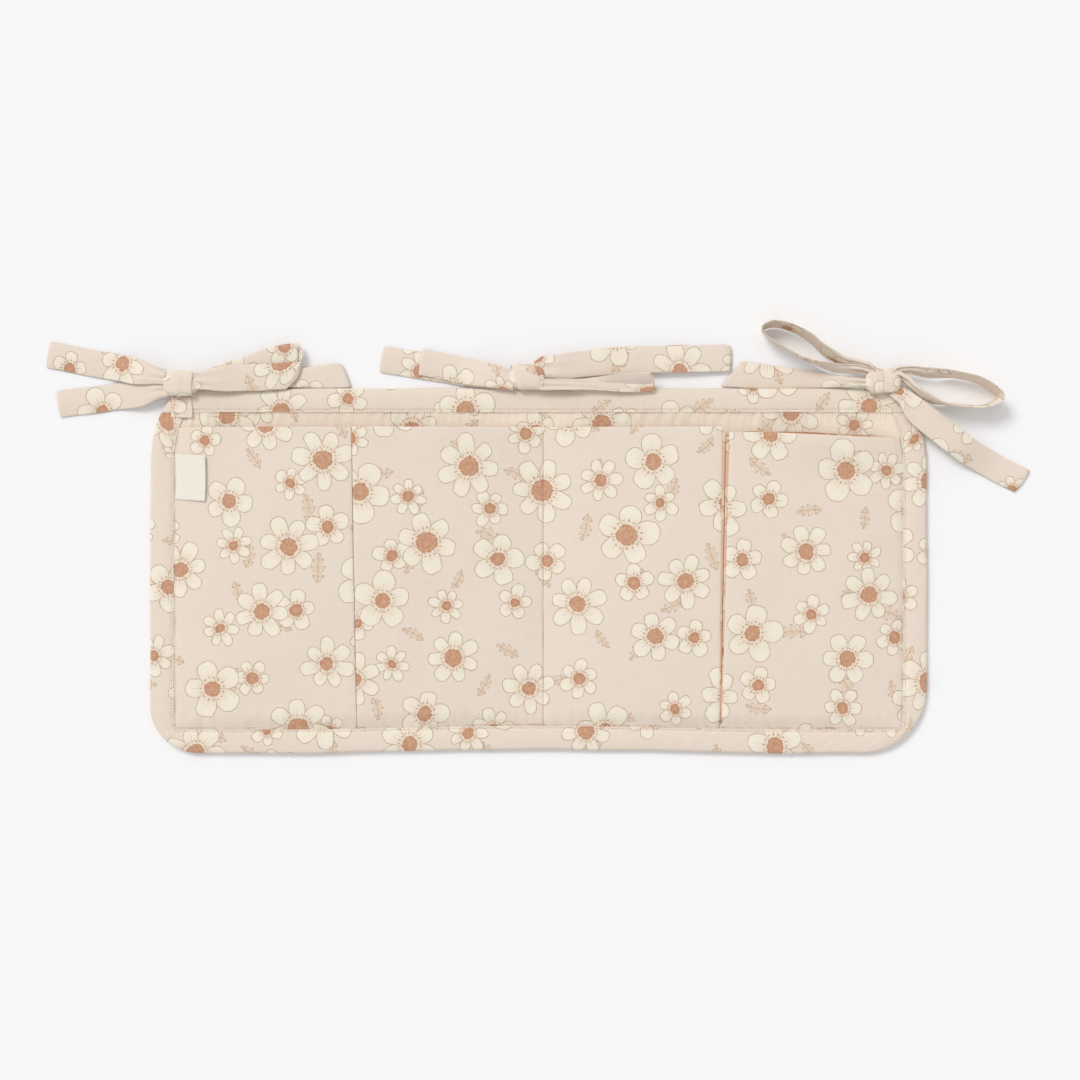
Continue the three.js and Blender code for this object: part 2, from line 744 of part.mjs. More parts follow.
const straps = {
  tail_high_left: tail({
    tie: ties.left, side: -1, heading: 170, length: leftHighTailLength, restZ: tableZ,
    rootAsideShare: 0.235, rootUpShare: 0.12, tipAsideShare: -0.08, bowShare: 0,
    rootWidthShare: 0.58, gatherShare: 0.3, dropFromShare: 0.08, slantShare: 0,
  }),
  tail_low_left: tail({
    tie: ties.left, side: -1, heading: 187, length: leftLowTailLength, restZ: tableZ,
    rootAsideShare: -0.235, rootUpShare: -0.12, tipAsideShare: 0.02, bowShare: 0,
    rootWidthShare: 0.58, gatherShare: 0.3, dropFromShare: 0, slantShare: 0,
  }),
  loop_back_left: flatLoop({
    tie: ties.left, side: 1, heading: 0, length: leftBackLoopLength, restZ: tableZ, puff: 0,
    rootAsideShare: 0.03, rootUpShare: -0.42, gatherShare: 1.25, spreadFromShare: 0, spreadToShare: 1.25,
    low: { asideShare: 0.325, rootWidthShare: 0.35, farWidthShare: 1, slantShare: -0.4, reachShare: 1 },
    high: { asideShare: 0.325, rootWidthShare: 0.35, farWidthShare: 1, slantShare: -0.4, reachShare: 1 },
  }),
  loop_front_left: flatLoop({
    tie: ties.left, side: 1, heading: 3, length: leftFrontLoopLength, restZ: frontLoopZ, puff: strapPuff,
    rootAsideShare: 0.1, rootUpShare: 0.1, gatherShare: 0.36, spreadFromShare: 0, spreadToShare: 1,
    low: { asideShare: 0.75, rootWidthShare: 0.68, farWidthShare: 1, slantShare: 0, reachShare: 1 },
    high: { asideShare: 0, rootWidthShare: 0.68, farWidthShare: 1, slantShare: 0.6, reachShare: 0.93 },
  }),
  tail_back_centre: tail({
    tie: ties.centre, side: -1, heading: 170, length: centreBackTailLength, restZ: tableZ,
    rootAsideShare: -0.09, rootUpShare: -0.2, tipAsideShare: 0.06, bowShare: 0,
    rootWidthShare: 0.8, gatherShare: 0.4, dropFromShare: 0.05, slantShare: 0,
  }),
  tail_front_centre: tail({
    tie: ties.centre, side: -1, heading: 170, length: centreFrontTailLength, restZ: tableZ + strapPitch,
    rootAsideShare: -0.09, rootUpShare: 0.08, tipAsideShare: -0.06, bowShare: 0,
    rootWidthShare: 0.8, gatherShare: 0.5, dropFromShare: 0.05, slantShare: 0,
  }),
  loop_long_centre: flatLoop({
    tie: ties.centre, side: 1, heading: 1, length: centreLongLoopLength, restZ: tableZ, puff: strapPuff,
    rootAsideShare: 0.385, rootUpShare: -0.25, gatherShare: 0.17, spreadFromShare: 0, spreadToShare: 0.5,
    low: { asideShare: 0.26, rootWidthShare: 0.8, farWidthShare: 1, slantShare: 0, reachShare: 1 },
    high: { asideShare: 0.22, rootWidthShare: 0.8, farWidthShare: 1, slantShare: 0, reachShare: 1 },
  }),
  loop_short_centre: flatLoop({
    tie: ties.centre, side: 1, heading: 0, length: centreShortLoopLength, restZ: headerZ, puff: strapPuff,
    rootAsideShare: -0.28, rootUpShare: 0.05, gatherShare: 0.9, spreadFromShare: 0.32, spreadToShare: 0.85,
    low: { asideShare: 0.16, rootWidthShare: 0.4, farWidthShare: 0.55, slantShare: -0.15, reachShare: 1 },
    high: { asideShare: -0.11, rootWidthShare: 0.45, farWidthShare: 0.32, slantShare: -0.15, reachShare: 1 },
  }),
  tail_low_right: tail({
    tie: ties.right, side: -1, heading: 176, length: rightLowTailLength, restZ: tableZ,
    rootAsideShare: -0.08, rootUpShare: 0, tipAsideShare: -0.02, bowShare: 0,
    rootWidthShare: 0.36, gatherShare: 0.95, dropFromShare: 0.05, slantShare: 0.75,
  }),
  loop_up_right: standingLoop({
    tie: ties.right, side: -1, heading: 156, length: rightUpLoopLength,
    rootAsideShare: 0.45, rootUpShare: 0, rootWidthShare: 0.38, gatherShare: 0.6,
    routeShares: [
      [0, -0.1], [0.1, -0.03], [0.22, 0.09], [0.42, -0.02], [0.58, -0.22], [0.76, -0.26], [0.9, -0.18],
      [0.98, 0.03], [1, 0.24], [0.94, 0.42], [0.8, 0.49], [0.65, 0.58], [0.5, 0.6], [0.35, 0.52],
      [0.21, 0.37], [0.1, 0.18], [0, 0.1],
    ],
  }),
  loop_round_right: standingLoop({
    tie: ties.right, side: 1, heading: -6, length: rightRoundLoopLength,
    rootAsideShare: 0.3, rootUpShare: 0, rootWidthShare: 0.4, gatherShare: 0.6,
    routeShares: [
      [0, 0.1], [0.05, 0.12], [0.14, 0.17], [0.28, 0.13], [0.44, 0.17], [0.62, 0.15], [0.81, 0.01],
      [0.96, -0.28], [1, -0.46], [0.96, -0.68], [0.85, -0.88], [0.7, -0.95], [0.52, -0.96], [0.38, -0.87],
      [0.24, -0.63], [0.14, -0.35], [0.05, -0.12], [0, -0.08],
    ],
  }),
  tail_slant_right: tail({
    tie: ties.right, side: 1, heading: -35.5, length: rightSlantTailLength, restZ: tableZ,
    rootAsideShare: -0.42, rootUpShare: 0, tipAsideShare: 0.04, bowShare: -0.26,
    rootWidthShare: 0.7, gatherShare: 0.22, dropFromShare: 0.45, slantShare: 0,
  }),
};

// The assembly
const caddy = new THREE.Group();

function add(name, geometry, colour, roughness) {
  const mesh = new THREE.Mesh(geometry, fabric(colour, roughness));
  mesh.name = name;
  caddy.add(mesh);
}

const clothRoughness = 0.9;
const labelRoughness = 0.7;
const ring = bindingRing();
add('back_lining', backLining(), clothColour, clothRoughness);
add('wadding', wadding(), waddingColour, clothRoughness);
add('front_cloth', frontCloth(), clothColour, clothRoughness);
add('edge_binding', edgeBinding(ring), clothColour, clothRoughness);
add('header_band', headerBand(ring), clothColour, clothRoughness);
add('header_end_tab', headerEndTab(), clothColour, clothRoughness);
for (const pocket of pockets) {
  add(`pocket_front_${pocket.name}`, pocketFront(pocket), clothColour, clothRoughness);
  add(`pocket_pleat_${pocket.name}`, pocketPleat(pocket), pleatColour, clothRoughness);
}
add('side_label', sideLabel(), labelColour, labelRoughness);
for (const [side, tie] of Object.entries(ties)) {
  add(`tie_root_${side}`, tieRoot(tie), clothColour, clothRoughness);
  add(`knot_${side}`, knot(tie), clothColour, clothRoughness);
}
for (const [name, geometry] of Object.entries(straps)) {
  add(name, geometry, clothColour, clothRoughness);
}

export default caddy;
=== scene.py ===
"""The looks of the bedside caddy: cloth, padding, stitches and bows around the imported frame."""

import math

import bmesh
import bpy
import mathutils
import numpy as np
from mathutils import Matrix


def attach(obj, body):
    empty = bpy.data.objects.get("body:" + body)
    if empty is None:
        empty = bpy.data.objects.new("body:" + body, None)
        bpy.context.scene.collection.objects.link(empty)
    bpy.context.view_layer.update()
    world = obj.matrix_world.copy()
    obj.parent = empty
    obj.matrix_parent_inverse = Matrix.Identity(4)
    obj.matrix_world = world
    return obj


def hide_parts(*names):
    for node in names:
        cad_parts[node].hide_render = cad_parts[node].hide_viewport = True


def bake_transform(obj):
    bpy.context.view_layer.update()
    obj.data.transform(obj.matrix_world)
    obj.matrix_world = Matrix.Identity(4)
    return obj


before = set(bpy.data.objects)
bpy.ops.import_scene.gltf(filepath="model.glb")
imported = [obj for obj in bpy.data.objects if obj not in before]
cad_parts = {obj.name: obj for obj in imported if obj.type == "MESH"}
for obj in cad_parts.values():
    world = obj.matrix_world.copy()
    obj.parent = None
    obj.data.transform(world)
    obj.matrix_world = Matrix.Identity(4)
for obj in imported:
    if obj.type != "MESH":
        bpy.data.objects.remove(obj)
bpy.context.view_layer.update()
scene = bpy.context.scene
MM = 0.001

# Camera: straight above, 0.772 mm to a pixel of the photograph
camera_data = bpy.data.cameras.new("camera")
camera_data.lens = 85
camera_data.sensor_width = 36
camera = bpy.data.objects.new("camera", camera_data)
camera.location = (0.00116, 0.0238, 1.974)
scene.collection.objects.link(camera)
scene.camera = camera

# Sizes in millimetres, as in the part's source
HALF_W, HALF_H = 300.0, 141.0
TOP_RUN, TOP_DROP = 31.0, 63.0
LEFT_TURN, RIGHT_TURN = 37.0, 51.0
ARCH_INSET, ARCH_RISE = 105.0, 3.0
BIND, LEAF_LOW = 18.5, 5.3
MOUTH_Y = HALF_H - BIND - 12
GAPE, FRONT_THICK = 7.0, 1.2
CUT_Y = 121.9
SEWN_X, SEAM_X = 282.3, 3.6
POCKET_WIDE, POCKET_HIGH, PLEAT_DEPTH = 140, 232, 18.0
CLOTH_INSET, CLOTH = 2.4, 0.6


def smooth(t):
    t = np.clip(t, 0, 1)
    return t * t * (3 - 2 * t)


def mix(a, b, t):
    return a + (b - a) * t


def waves(x, y, length, seed, count=7, spread=math.pi):
    """Soft, random looking waves of about that length, from -1 to 1."""
    r = np.random.default_rng(seed)
    total = 0.0
    for _ in range(count):
        angle = r.uniform(-spread, spread)
        k = 2 * math.pi / (length * r.uniform(0.7, 1.5))
        total = total + np.sin(k * (x * math.cos(angle) + y * math.sin(angle)) + r.uniform(0, 6.3))
    return total / math.sqrt(count) / 1.4


def bump(x, centre, width):
    return np.exp(-(((x - centre) / width) ** 2))


def unit(v):
    return v / np.maximum(np.linalg.norm(v, axis=-1, keepdims=True), 1e-9)


def turns(count):
    return np.arange(count) / count * 2 * math.pi


def run_along(points):
    """Distance of each point from the first one, along the line."""
    return np.cumsum([0, *np.linalg.norm(np.diff(points, axis=0), axis=1)])


# Node trees, written as sums
def feed(tree, socket, x):
    """Links a value or a node's output to a socket, or sets a number or colour there."""
    x = x.socket if isinstance(x, Value) else x
    if isinstance(x, bpy.types.NodeSocket):
        tree.links.new(x, socket)
    else:
        socket.default_value = x


class Value:
    """One socket of a node tree, with arithmetic."""

    def __init__(self, tree, socket):
        self.tree, self.socket = tree, socket

    def math(self, operation, *others):
        node = self.tree.nodes.new("ShaderNodeMath")
        node.operation = operation
        for i, x in enumerate((self, *others)):
            feed(self.tree, node.inputs[i], x)
        return Value(self.tree, node.outputs[0])

    def __abs__(self):
        return self.math("ABSOLUTE")

    def __add__(self, x):
        return self.math("ADD", x)

    __radd__ = __add__

    def __sub__(self, x):
        return self.math("SUBTRACT", x)

    def __rsub__(self, x):
        return self.math("MULTIPLY", -1.0) + x

    def __mul__(self, x):
        return self.math("MULTIPLY", x)

    __rmul__ = __mul__

    def __truediv__(self, x):
        return self.math("DIVIDE", x)

    def __pow__(self, x):
        return self.math("POWER", x)

    def step(self, low, high):
        """0 below low, 1 above high, smooth between them. low and high may be sockets."""
        t = (self - low) / (high - low)
        t = t.math("MAXIMUM", 0.0).math("MINIMUM", 1.0)
        return t * t * (3.0 - 2.0 * t)

    def line(self, half, soft):
        """1 where the value is within half of 0, fading out."""
        return 1.0 - abs(self).step(half, half + soft)


def settle(node, **inputs):
    """Sets inputs of a node by name, with _ for a space."""
    for name, value in inputs.items():
        node.inputs[name.replace("_", " ")].default_value = value


def noise(tree, vector, scale, detail=2.0, rough=0.5):
    node = tree.nodes.new("ShaderNodeTexNoise")
    settle(node, Scale=scale, Detail=detail, Roughness=rough)
    tree.links.new(vector, node.inputs["Vector"])
    return Value(tree, node.outputs["Fac"]) - 0.5


def vector_of(tree, *parts):
    node = tree.nodes.new("ShaderNodeCombineXYZ")
    for i, x in enumerate(parts):
        feed(tree, node.inputs[i], x)
    return node.outputs[0]


def in_millimetres(tree, vector):
    parts = tree.nodes.new("ShaderNodeSeparateXYZ")
    tree.links.new(vector, parts.inputs[0])
    return (Value(tree, parts.outputs[i]) * 1000.0 for i in (0, 1))


def randoms(tree, a, b, seed):
    """Three random values for a cell."""
    node = tree.nodes.new("ShaderNodeTexWhiteNoise")
    node.noise_dimensions = "3D"
    tree.links.new(vector_of(tree, a, b, seed), node.inputs["Vector"])
    parts = tree.nodes.new("ShaderNodeSeparateColor")
    tree.links.new(node.outputs["Color"], parts.inputs[0])
    return [Value(tree, parts.outputs[i]) for i in range(3)]


def colour_mix(tree, share, a, b, blend="MIX"):
    node = tree.nodes.new("ShaderNodeMix")
    node.data_type = "RGBA"
    node.blend_type = blend
    for i, x in ((0, share), (6, a), (7, b)):
        feed(tree, node.inputs[i], x)
    return node.outputs[2]


def rgb(red, green, blue):
    """A colour as seen, 0 to 255, as the linear colour that a shader takes."""
    linear = (((c / 255 + 0.055) / 1.055) ** 2.4 if c > 10 else c / 3295 for c in (red, green, blue))
    return (*linear, 1.0)


CREAM = rgb(243, 234, 216)
PETAL_SHADE = rgb(231, 213, 190)
TAUPE = rgb(170, 138, 112)
TERRACOTTA = rgb(215, 166, 132)
RUST = rgb(184, 121, 84)
TAN = rgb(222, 190, 162)
LEAF_LIGHT = rgb(236, 221, 200)
GROUND = rgb(235, 221, 206)


def cell_at(tree, x, y, seed, cell, turn, shift, radius_low, radius_high):
    """The nearest motif of a turned lattice: its local place in mm, its radius and its random values."""
    c, s = math.cos(turn), math.sin(turn)
    gx = (x * c - y * s) / cell + shift[0]
    gy = (x * s + y * c) / cell + shift[1]
    ix, iy = gx.math("FLOOR"), gy.math("FLOOR")
    a, b = randoms(tree, ix, iy, seed), randoms(tree, ix, iy, seed + 7.3)
    radius = (a[0] * (radius_high - radius_low) + radius_low) * cell
    room = 0.49 - radius / cell
    lx = (gx - ix - 0.5 - (a[1] - 0.5) * 2.0 * room) * cell
    ly = (gy - iy - 0.5 - (a[2] - 0.5) * 2.0 * room) * cell
    return lx, ly, radius, ix, iy, b


def flowers(tree, under, x, y, wash, seed, *lattice):
    """Round flowers with five to eight outlined petals and a soft round centre."""
    lx, ly, radius, ix, iy, b = cell_at(tree, x, y, seed, *lattice)
    lx = lx + wash[0] * 3.2
    ly = ly + wash[1] * 3.2
    r = (lx * lx + ly * ly).math("SQRT").math("MAXIMUM", 0.01)
    turn_of = ly.math("ARCTAN2", lx) / (2 * math.pi) + b[0] + 4.0
    petals = (b[1] * 3.0).math("FLOOR") + 5.0
    place = turn_of * petals
    petal = place.math("FLOOR").math("MODULO", petals)
    own = randoms(tree, ix * 13.1 + petal, iy * 7.7, seed + 2.9)
    t = abs((place.math("FRACT") - 0.5) * 2.0)
    reach = radius * (own[0] * 0.16 + 0.84)
    edge = reach * (1.0 - 0.46 * t**2.6)
    slope = reach * 0.46 * 2.6 * t**1.6 * petals / (math.pi * r)
    away = (r - edge) / (slope * slope + 1.0).math("SQRT")
    inside = 1.0 - away.step(-0.1, 0.15)
    beside = r * math.pi / petals
    rim = away.line(0.13, 0.34)
    split = ((1.0 - t) * beside).line(0.1, 0.3) * inside
    share = r / radius
    vein = (t * beside).line(0.06, 0.22) * share.step(0.3, 0.36) * (1.0 - share.step(0.5, 0.66))
    side_vein = ((t - 0.42) * beside).line(0.05, 0.2) * share.step(0.3, 0.36) * (1.0 - share.step(0.4, 0.52))
    shade = (1.0 - share.step(0.2, 0.75)) * 0.55 + t * t * 0.25 + wash[2] * 0.5
    out = colour_mix(tree, inside * 0.94, under, colour_mix(tree, shade, CREAM, PETAL_SHADE))
    lines = rim.math("MAXIMUM", split).math("MAXIMUM", (vein + side_vein) * 0.7)
    out = colour_mix(tree, lines * (wash[3] * 1.1 + 0.72), out, TAUPE)
    heart = radius * (b[2] * 0.07 + 0.25) * (1.0 + wash[3] * 0.5)
    from_heart = r - heart
    heart_mask = 1.0 - from_heart.step(-0.5, 0.35)
    ring = (from_heart + 0.9).line(0.2, 1.1) * 0.55
    spot = ((r / heart - 0.45) * 4.0).line(0.4, 0.8) * 0.35
    tone = colour_mix(tree, wash[2] * 1.5 + 0.3 + ring + spot, TERRACOTTA, RUST)
    out = colour_mix(tree, heart_mask * (0.9 + wash[3] * 0.4), out, tone)
    stamens = ((place.math("FRACT") * 3.0).math("FRACT") - 0.5).line(0.1, 0.14)
    stamens = stamens * (from_heart - radius * 0.1).line(0.45, 0.4)
    return colour_mix(tree, stamens * 0.8, out, RUST)


def sprigs(tree, under, x, y, wash, *lattice):
    """Small leafy sprigs, leaves slanted along both sides of a stem."""
    lx, ly, radius, _, _, b = cell_at(tree, x, y, *lattice)
    lx = lx + wash[0] * 2.4
    ly = ly + wash[1] * 2.4
    angle = b[0] * 2 * math.pi
    c, s = angle.math("COSINE"), angle.math("SINE")
    along = (lx * c + ly * s) / radius
    aside = (ly * c - lx * s) / radius + (along * along - 0.4) * (b[1] - 0.5) * 0.5
    off, on = abs(aside), abs(along)
    phase = along * 1.9 - off * 1.5
    lobe = abs((phase * math.pi).math("SINE")) ** 0.8
    height = lobe * 0.42 * (1.02 - along * along).math("MAXIMUM", 0.0)
    away = (off - height) * radius * 0.75
    inside = (1.0 - away.step(-0.1, 0.15)) * (1.0 - on.step(0.93, 0.96))
    rim = away.line(0.1, 0.3) * (1.0 - on.step(0.9, 0.95))
    stem = (aside * radius).line(0.1, 0.25) * (1.0 - on.step(0.97, 1.0))
    leaf = colour_mix(tree, wash[2] * 1.6 + 0.45, TAN, LEAF_LIGHT)
    out = colour_mix(tree, inside * 0.85, under, leaf)
    return colour_mix(tree, rim.math("MAXIMUM", stem) * (wash[3] + 0.7), out, TAUPE)


def print_group():
    """The printed cotton: colour and thread height for a place on the cloth in metres."""
    group = bpy.data.node_groups.new("flower_cotton", "ShaderNodeTree")
    for way, socket, kind in (
        ("INPUT", "Place", "Vector"),
        ("INPUT", "Ground", "Color"),
        ("OUTPUT", "Colour", "Color"),
        ("OUTPUT", "Height", "Float"),
    ):
        group.interface.new_socket(socket, in_out=way, socket_type=f"NodeSocket{kind}")
    start = group.nodes.new("NodeGroupInput")
    end = group.nodes.new("NodeGroupOutput")
    x, y = in_millimetres(group, start.outputs["Place"])
    flat = vector_of(group, x, y, 0.0)
    shifted = vector_of(group, x + 311.0, y - 97.0, 0.0)
    wash = (
        noise(group, flat, 0.09, 1.0),
        noise(group, shifted, 0.09, 1.0),
        noise(group, flat, 0.32, 3.0, 0.6),
        noise(group, shifted, 0.55, 2.0),
    )
    cloud = noise(group, flat, 0.02, 2.0) * 0.5 + noise(group, flat, 0.16, 2.0) * 0.3
    ground = colour_mix(group, cloud + 0.25, start.outputs["Ground"], rgb(227, 208, 191))
    out = sprigs(group, ground, x, y, wash, 3.1, 50.0, 0.62, (0.1, 0.55), 0.17, 0.26)
    out = flowers(group, out, x, y, wash, 11.7, 66.0, 0.47, (0.62, 0.2), 0.2, 0.27)
    out = flowers(group, out, x, y, wash, 23.9, 66.0, 0.47, (0.12, 0.7), 0.3, 0.4)
    warp = noise(group, vector_of(group, x * 2.2, y * 0.05, 0.0), 1.0, 2.0)
    weft = noise(group, vector_of(group, x * 0.05, y * 2.2, 3.0), 1.0, 2.0)
    slub = (warp + weft) * 0.22
    out = colour_mix(group, slub + 0.02, out, rgb(196, 168, 148))
    out = colour_mix(group, 0.02 - slub, out, rgb(255, 250, 244))
    thread = 2 * math.pi / 0.42
    woven = (x * thread).math("SINE") * (y * thread).math("SINE") * 0.5 + (warp + weft) * 0.8
    group.links.new(out, end.inputs["Colour"])
    group.links.new(woven.socket, end.inputs["Height"])
    return group


PRINT = print_group()


def principled(name, roughness, sheen):
    material = bpy.data.materials.new(name)
    material.use_nodes = True
    tree = material.node_tree
    shader = tree.nodes["Principled BSDF"]
    settle(shader, Roughness=roughness, Sheen_Weight=sheen, Specular_IOR_Level=0.25)
    return material, tree, shader


def add_bump(tree, shader, height, distance):
    node = tree.nodes.new("ShaderNodeBump")
    settle(node, Distance=distance, Strength=0.5)
    tree.links.new(height, node.inputs["Height"])
    tree.links.new(node.outputs[0], shader.inputs["Normal"])


def place_of(tree):
    node = tree.nodes.new("ShaderNodeAttribute")
    node.attribute_name = "cloth"
    return node.outputs["Vector"]


def cotton(name, ground=GROUND, tint=None):
    material, tree, shader = principled(name, 0.88, 0.12)
    group = tree.nodes.new("ShaderNodeGroup")
    group.node_tree = PRINT
    settle(group, Ground=ground)
    tree.links.new(place_of(tree), group.inputs["Place"])
    colour = group.outputs["Colour"]
    if tint:
        colour = colour_mix(tree, 1.0, colour, tint, "MULTIPLY")
    tree.links.new(colour, shader.inputs["Base Color"])
    add_bump(tree, shader, group.outputs["Height"], 0.00012)
    return material


def plain(name, colour, dark, scale, rib, roughness=0.85):
    """Plain yarn or ribbon with a fine rib and a little unevenness."""
    material, tree, shader = principled(name, roughness, 0.1)
    x, y = in_millimetres(tree, place_of(tree))
    uneven = noise(tree, vector_of(tree, x, y, 0.0), scale, 3.0)
    ribs = (y * (2 * math.pi / rib)).math("SINE") * 0.5 + (x * (2 * math.pi / (rib * 0.7))).math("SINE") * 0.3
    shade = uneven * 0.8 + ribs * 0.12 + 0.25
    tree.links.new(colour_mix(tree, shade, colour, dark), shader.inputs["Base Color"])
    add_bump(tree, shader, (ribs + uneven).socket, 0.0001)
    return material


COTTON = cotton("printed_cotton")
LINING = cotton("printed_cotton_back", rgb(232, 217, 205))
# The front cloth's ground is lighter than the other cotton. This is painted light, which offsets the shade that
# falls in the strip between the header and the pockets' mouths.
FRONT_PAINTED_LIGHT = cotton("printed_cotton_front_painted_light", rgb(248, 232, 212))
# The pleats' cotton is darker and warmer than the rest: painted shade for the shadow deep in the folds.
FOLD_PAINTED_SHADE = cotton("printed_cotton_fold_painted_shade", rgb(230, 207, 190), rgb(246, 224, 208))
# A dark, warm cotton for the strip along the pockets' mouths: painted shade for the shadow inside the mouths.
MOUTH_PAINTED_SHADE = cotton("printed_cotton_mouth_painted_shade", rgb(200, 164, 138), rgb(226, 196, 174))
RIBBON = plain("label_ribbon", rgb(240, 236, 223), rgb(222, 214, 198), 0.5, 0.6)
WOOL = plain("wadding_fibre", rgb(246, 244, 238), rgb(226, 222, 214), 0.15, 2.3)
YARN = plain("stitch_yarn", rgb(214, 182, 160), rgb(186, 150, 128), 0.8, 0.5, 0.6)


# Meshes
def make(name, points, faces, cloth, material):
    """A mesh from points in mm and their places on the cloth, which the print follows."""
    mesh = bpy.data.meshes.new(name)
    mesh.from_pydata((points * MM).tolist(), [], [list(map(int, f)) for f in faces])
    mesh.validate()
    attribute = mesh.attributes.new("cloth", "FLOAT_VECTOR", "POINT")
    place = np.column_stack([cloth * MM, np.zeros(len(points))])
    attribute.data.foreach_set("vector", place.ravel())
    bm = bmesh.new()
    bm.from_mesh(mesh)
    bmesh.ops.recalc_face_normals(bm, faces=bm.faces)
    if bm.calc_volume(signed=True) < 0:
        bmesh.ops.reverse_faces(bm, faces=bm.faces)
    bm.to_mesh(mesh)
    bm.free()
    mesh.polygons.foreach_set("use_smooth", [True] * len(mesh.polygons))
    mesh.materials.append(material)
    obj = bpy.data.objects.new(name, mesh)
    scene.collection.objects.link(obj)
    return obj


def ring_faces(count, around, closed=False):
    """Faces between neighbouring rings of points and, if closed, from the last ring to the first."""
    faces = []
    for k in range(count if closed else count - 1):
        n = (k + 1) % count
        for j in range(around):
            m = (j + 1) % around
            faces.append((k * around + j, k * around + m, n * around + m, n * around + j))
    return faces


def shell(name, top, cloth, thick, material, round_out=0.4):
    """A closed sheet with a rounded rim. top holds grids of x, y and z, cloth grids of x and y."""
    top, cloth = np.stack(top, -1), np.stack(cloth, -1)
    rows, cols, _ = top.shape
    normal = unit(np.cross(np.gradient(top, axis=1), np.gradient(top, axis=0)))
    if normal[..., 2].mean() < 0:
        normal = -normal
    thickness = np.broadcast_to(np.asarray(thick, float), (rows, cols))[..., None]
    low = top - normal * thickness
    rim = [(0, c) for c in range(cols)] + [(r, cols - 1) for r in range(1, rows)]
    rim += [(rows - 1, c) for c in range(cols - 2, -1, -1)] + [(r, 0) for r in range(rows - 2, 0, -1)]
    middle = []
    for r, c in rim:
        out = top[r, c] - top[min(max(r, 1), rows - 2), min(max(c, 1), cols - 2)]
        out = unit(out - normal[r, c] * (out @ normal[r, c]))
        middle.append((top[r, c] + low[r, c]) / 2 + out * thickness[r, c] * round_out)
    count = rows * cols
    points = np.concatenate([top.reshape(-1, 3), low.reshape(-1, 3), np.array(middle)])
    a = (np.arange(rows - 1)[:, None] * cols + np.arange(cols - 1)).ravel()
    quads = np.stack([a, a + 1, a + cols + 1, a + cols], -1)
    faces = [*quads, *(quads + count)[:, ::-1]]
    rim_at = [r * cols + c for r, c in rim]
    for k, (a, b) in enumerate(zip(rim_at, rim_at[1:] + rim_at[:1])):
        m, o = 2 * count + k, 2 * count + (k + 1) % len(rim)
        faces += [(b, a, m, o), (o, m, count + a, count + b)]
    place = cloth.reshape(-1, 2)
    return make(name, points, faces, np.concatenate([place, place, place[rim_at]]), material)


def tube(name, rings, cloth, material):
    """A closed form lofted through rings of points (rings, around, 3), with rounded ends."""

    def shrunk(ring, beside, share):
        centre = ring.mean(0)
        out = unit(centre - beside.mean(0))
        depth = np.linalg.norm(ring - centre, axis=1).min()
        return centre + (ring - centre) * share + out * depth * math.sqrt(1 - share * share)

    wide, narrow = 0.75, 0.35
    first = [shrunk(rings[0], rings[1], s) for s in (narrow, wide)]
    last = [shrunk(rings[-1], rings[-2], s) for s in (wide, narrow)]
    every = np.array([*first, *rings, *last])
    cloths = np.array([cloth[0], cloth[0], *cloth, cloth[-1], cloth[-1]])
    count, around, _ = every.shape
    points, places = (
        np.concatenate([grid.reshape(count * around, -1), [grid[0].mean(0), grid[-1].mean(0)]])
        for grid in (every, cloths)
    )
    faces = ring_faces(count, around)
    for j in range(around):
        n = (j + 1) % around
        faces.append((count * around, n, j))
        faces.append((count * around + 1, (count - 1) * around + j, (count - 1) * around + n))
    return make(name, points, faces, places, material)


def hoop(name, rings, cloth):
    """A closed form through rings of points, the last of which runs back into the first."""
    faces = ring_faces(*rings.shape[:2], closed=True)
    return make(name, rings.reshape(-1, 3), faces, cloth.reshape(-1, 2), COTTON)


def round_ring(upper, lower):
    """One ring of a flat form: along its upper line and back along its lower one."""
    return np.concatenate([upper, lower[-2:0:-1]])


def dress(obj, body, node):
    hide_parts(node)
    if body:
        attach(obj, body)


# The panel's outline, drawn in from its edge, as in the part's source, with close steps
def arch_at(x):
    share = np.minimum(np.abs(x) / (HALF_W - ARCH_INSET), 1)
    return ARCH_RISE * (1 - share * share) ** 2


def bottom_turn(inset, side):
    """Run of a bottom corner: rounder at the right, nearly square at the binding's inner edge."""
    return mix(np.where(side > 0, RIGHT_TURN, LEFT_TURN), BIND + 4.0, min(inset / BIND, 1))


def outline(inset):
    """Closed line of the panel's edge at an inset, from the bottom's right end up the right side and round."""
    arc_steps, step, level_run, upright_run = 22, 2.6, 516, 170
    arcs = []
    for index, (sx, sy) in enumerate(((1, -1), (1, 1), (-1, 1), (-1, -1))):
        turn = float(bottom_turn(inset, sx))
        run, drop = (turn, turn) if sy < 0 else (TOP_RUN, TOP_DROP)
        angle = (index - 1 + np.linspace(0, 1, arc_steps + 1)) * math.pi / 2
        x = sx * (HALF_W - run) + np.cos(angle) * (run - inset)
        y = sy * (HALF_H - drop) + np.sin(angle) * (drop - inset)
        arcs.append(np.stack([x, y], 1))
    line = []
    for index, arc in enumerate(arcs):
        steps = int((level_run if index % 2 else upright_run) / step)
        share = np.arange(1, steps)[:, None] / steps
        line += [arc, mix(arc[-1], arcs[(index + 1) % 4][0], share)]
    x, y = np.concatenate(line).T
    return np.stack([x, np.where(y < 0, y + arch_at(x) * smooth(-y / HALF_H), y)], 1)


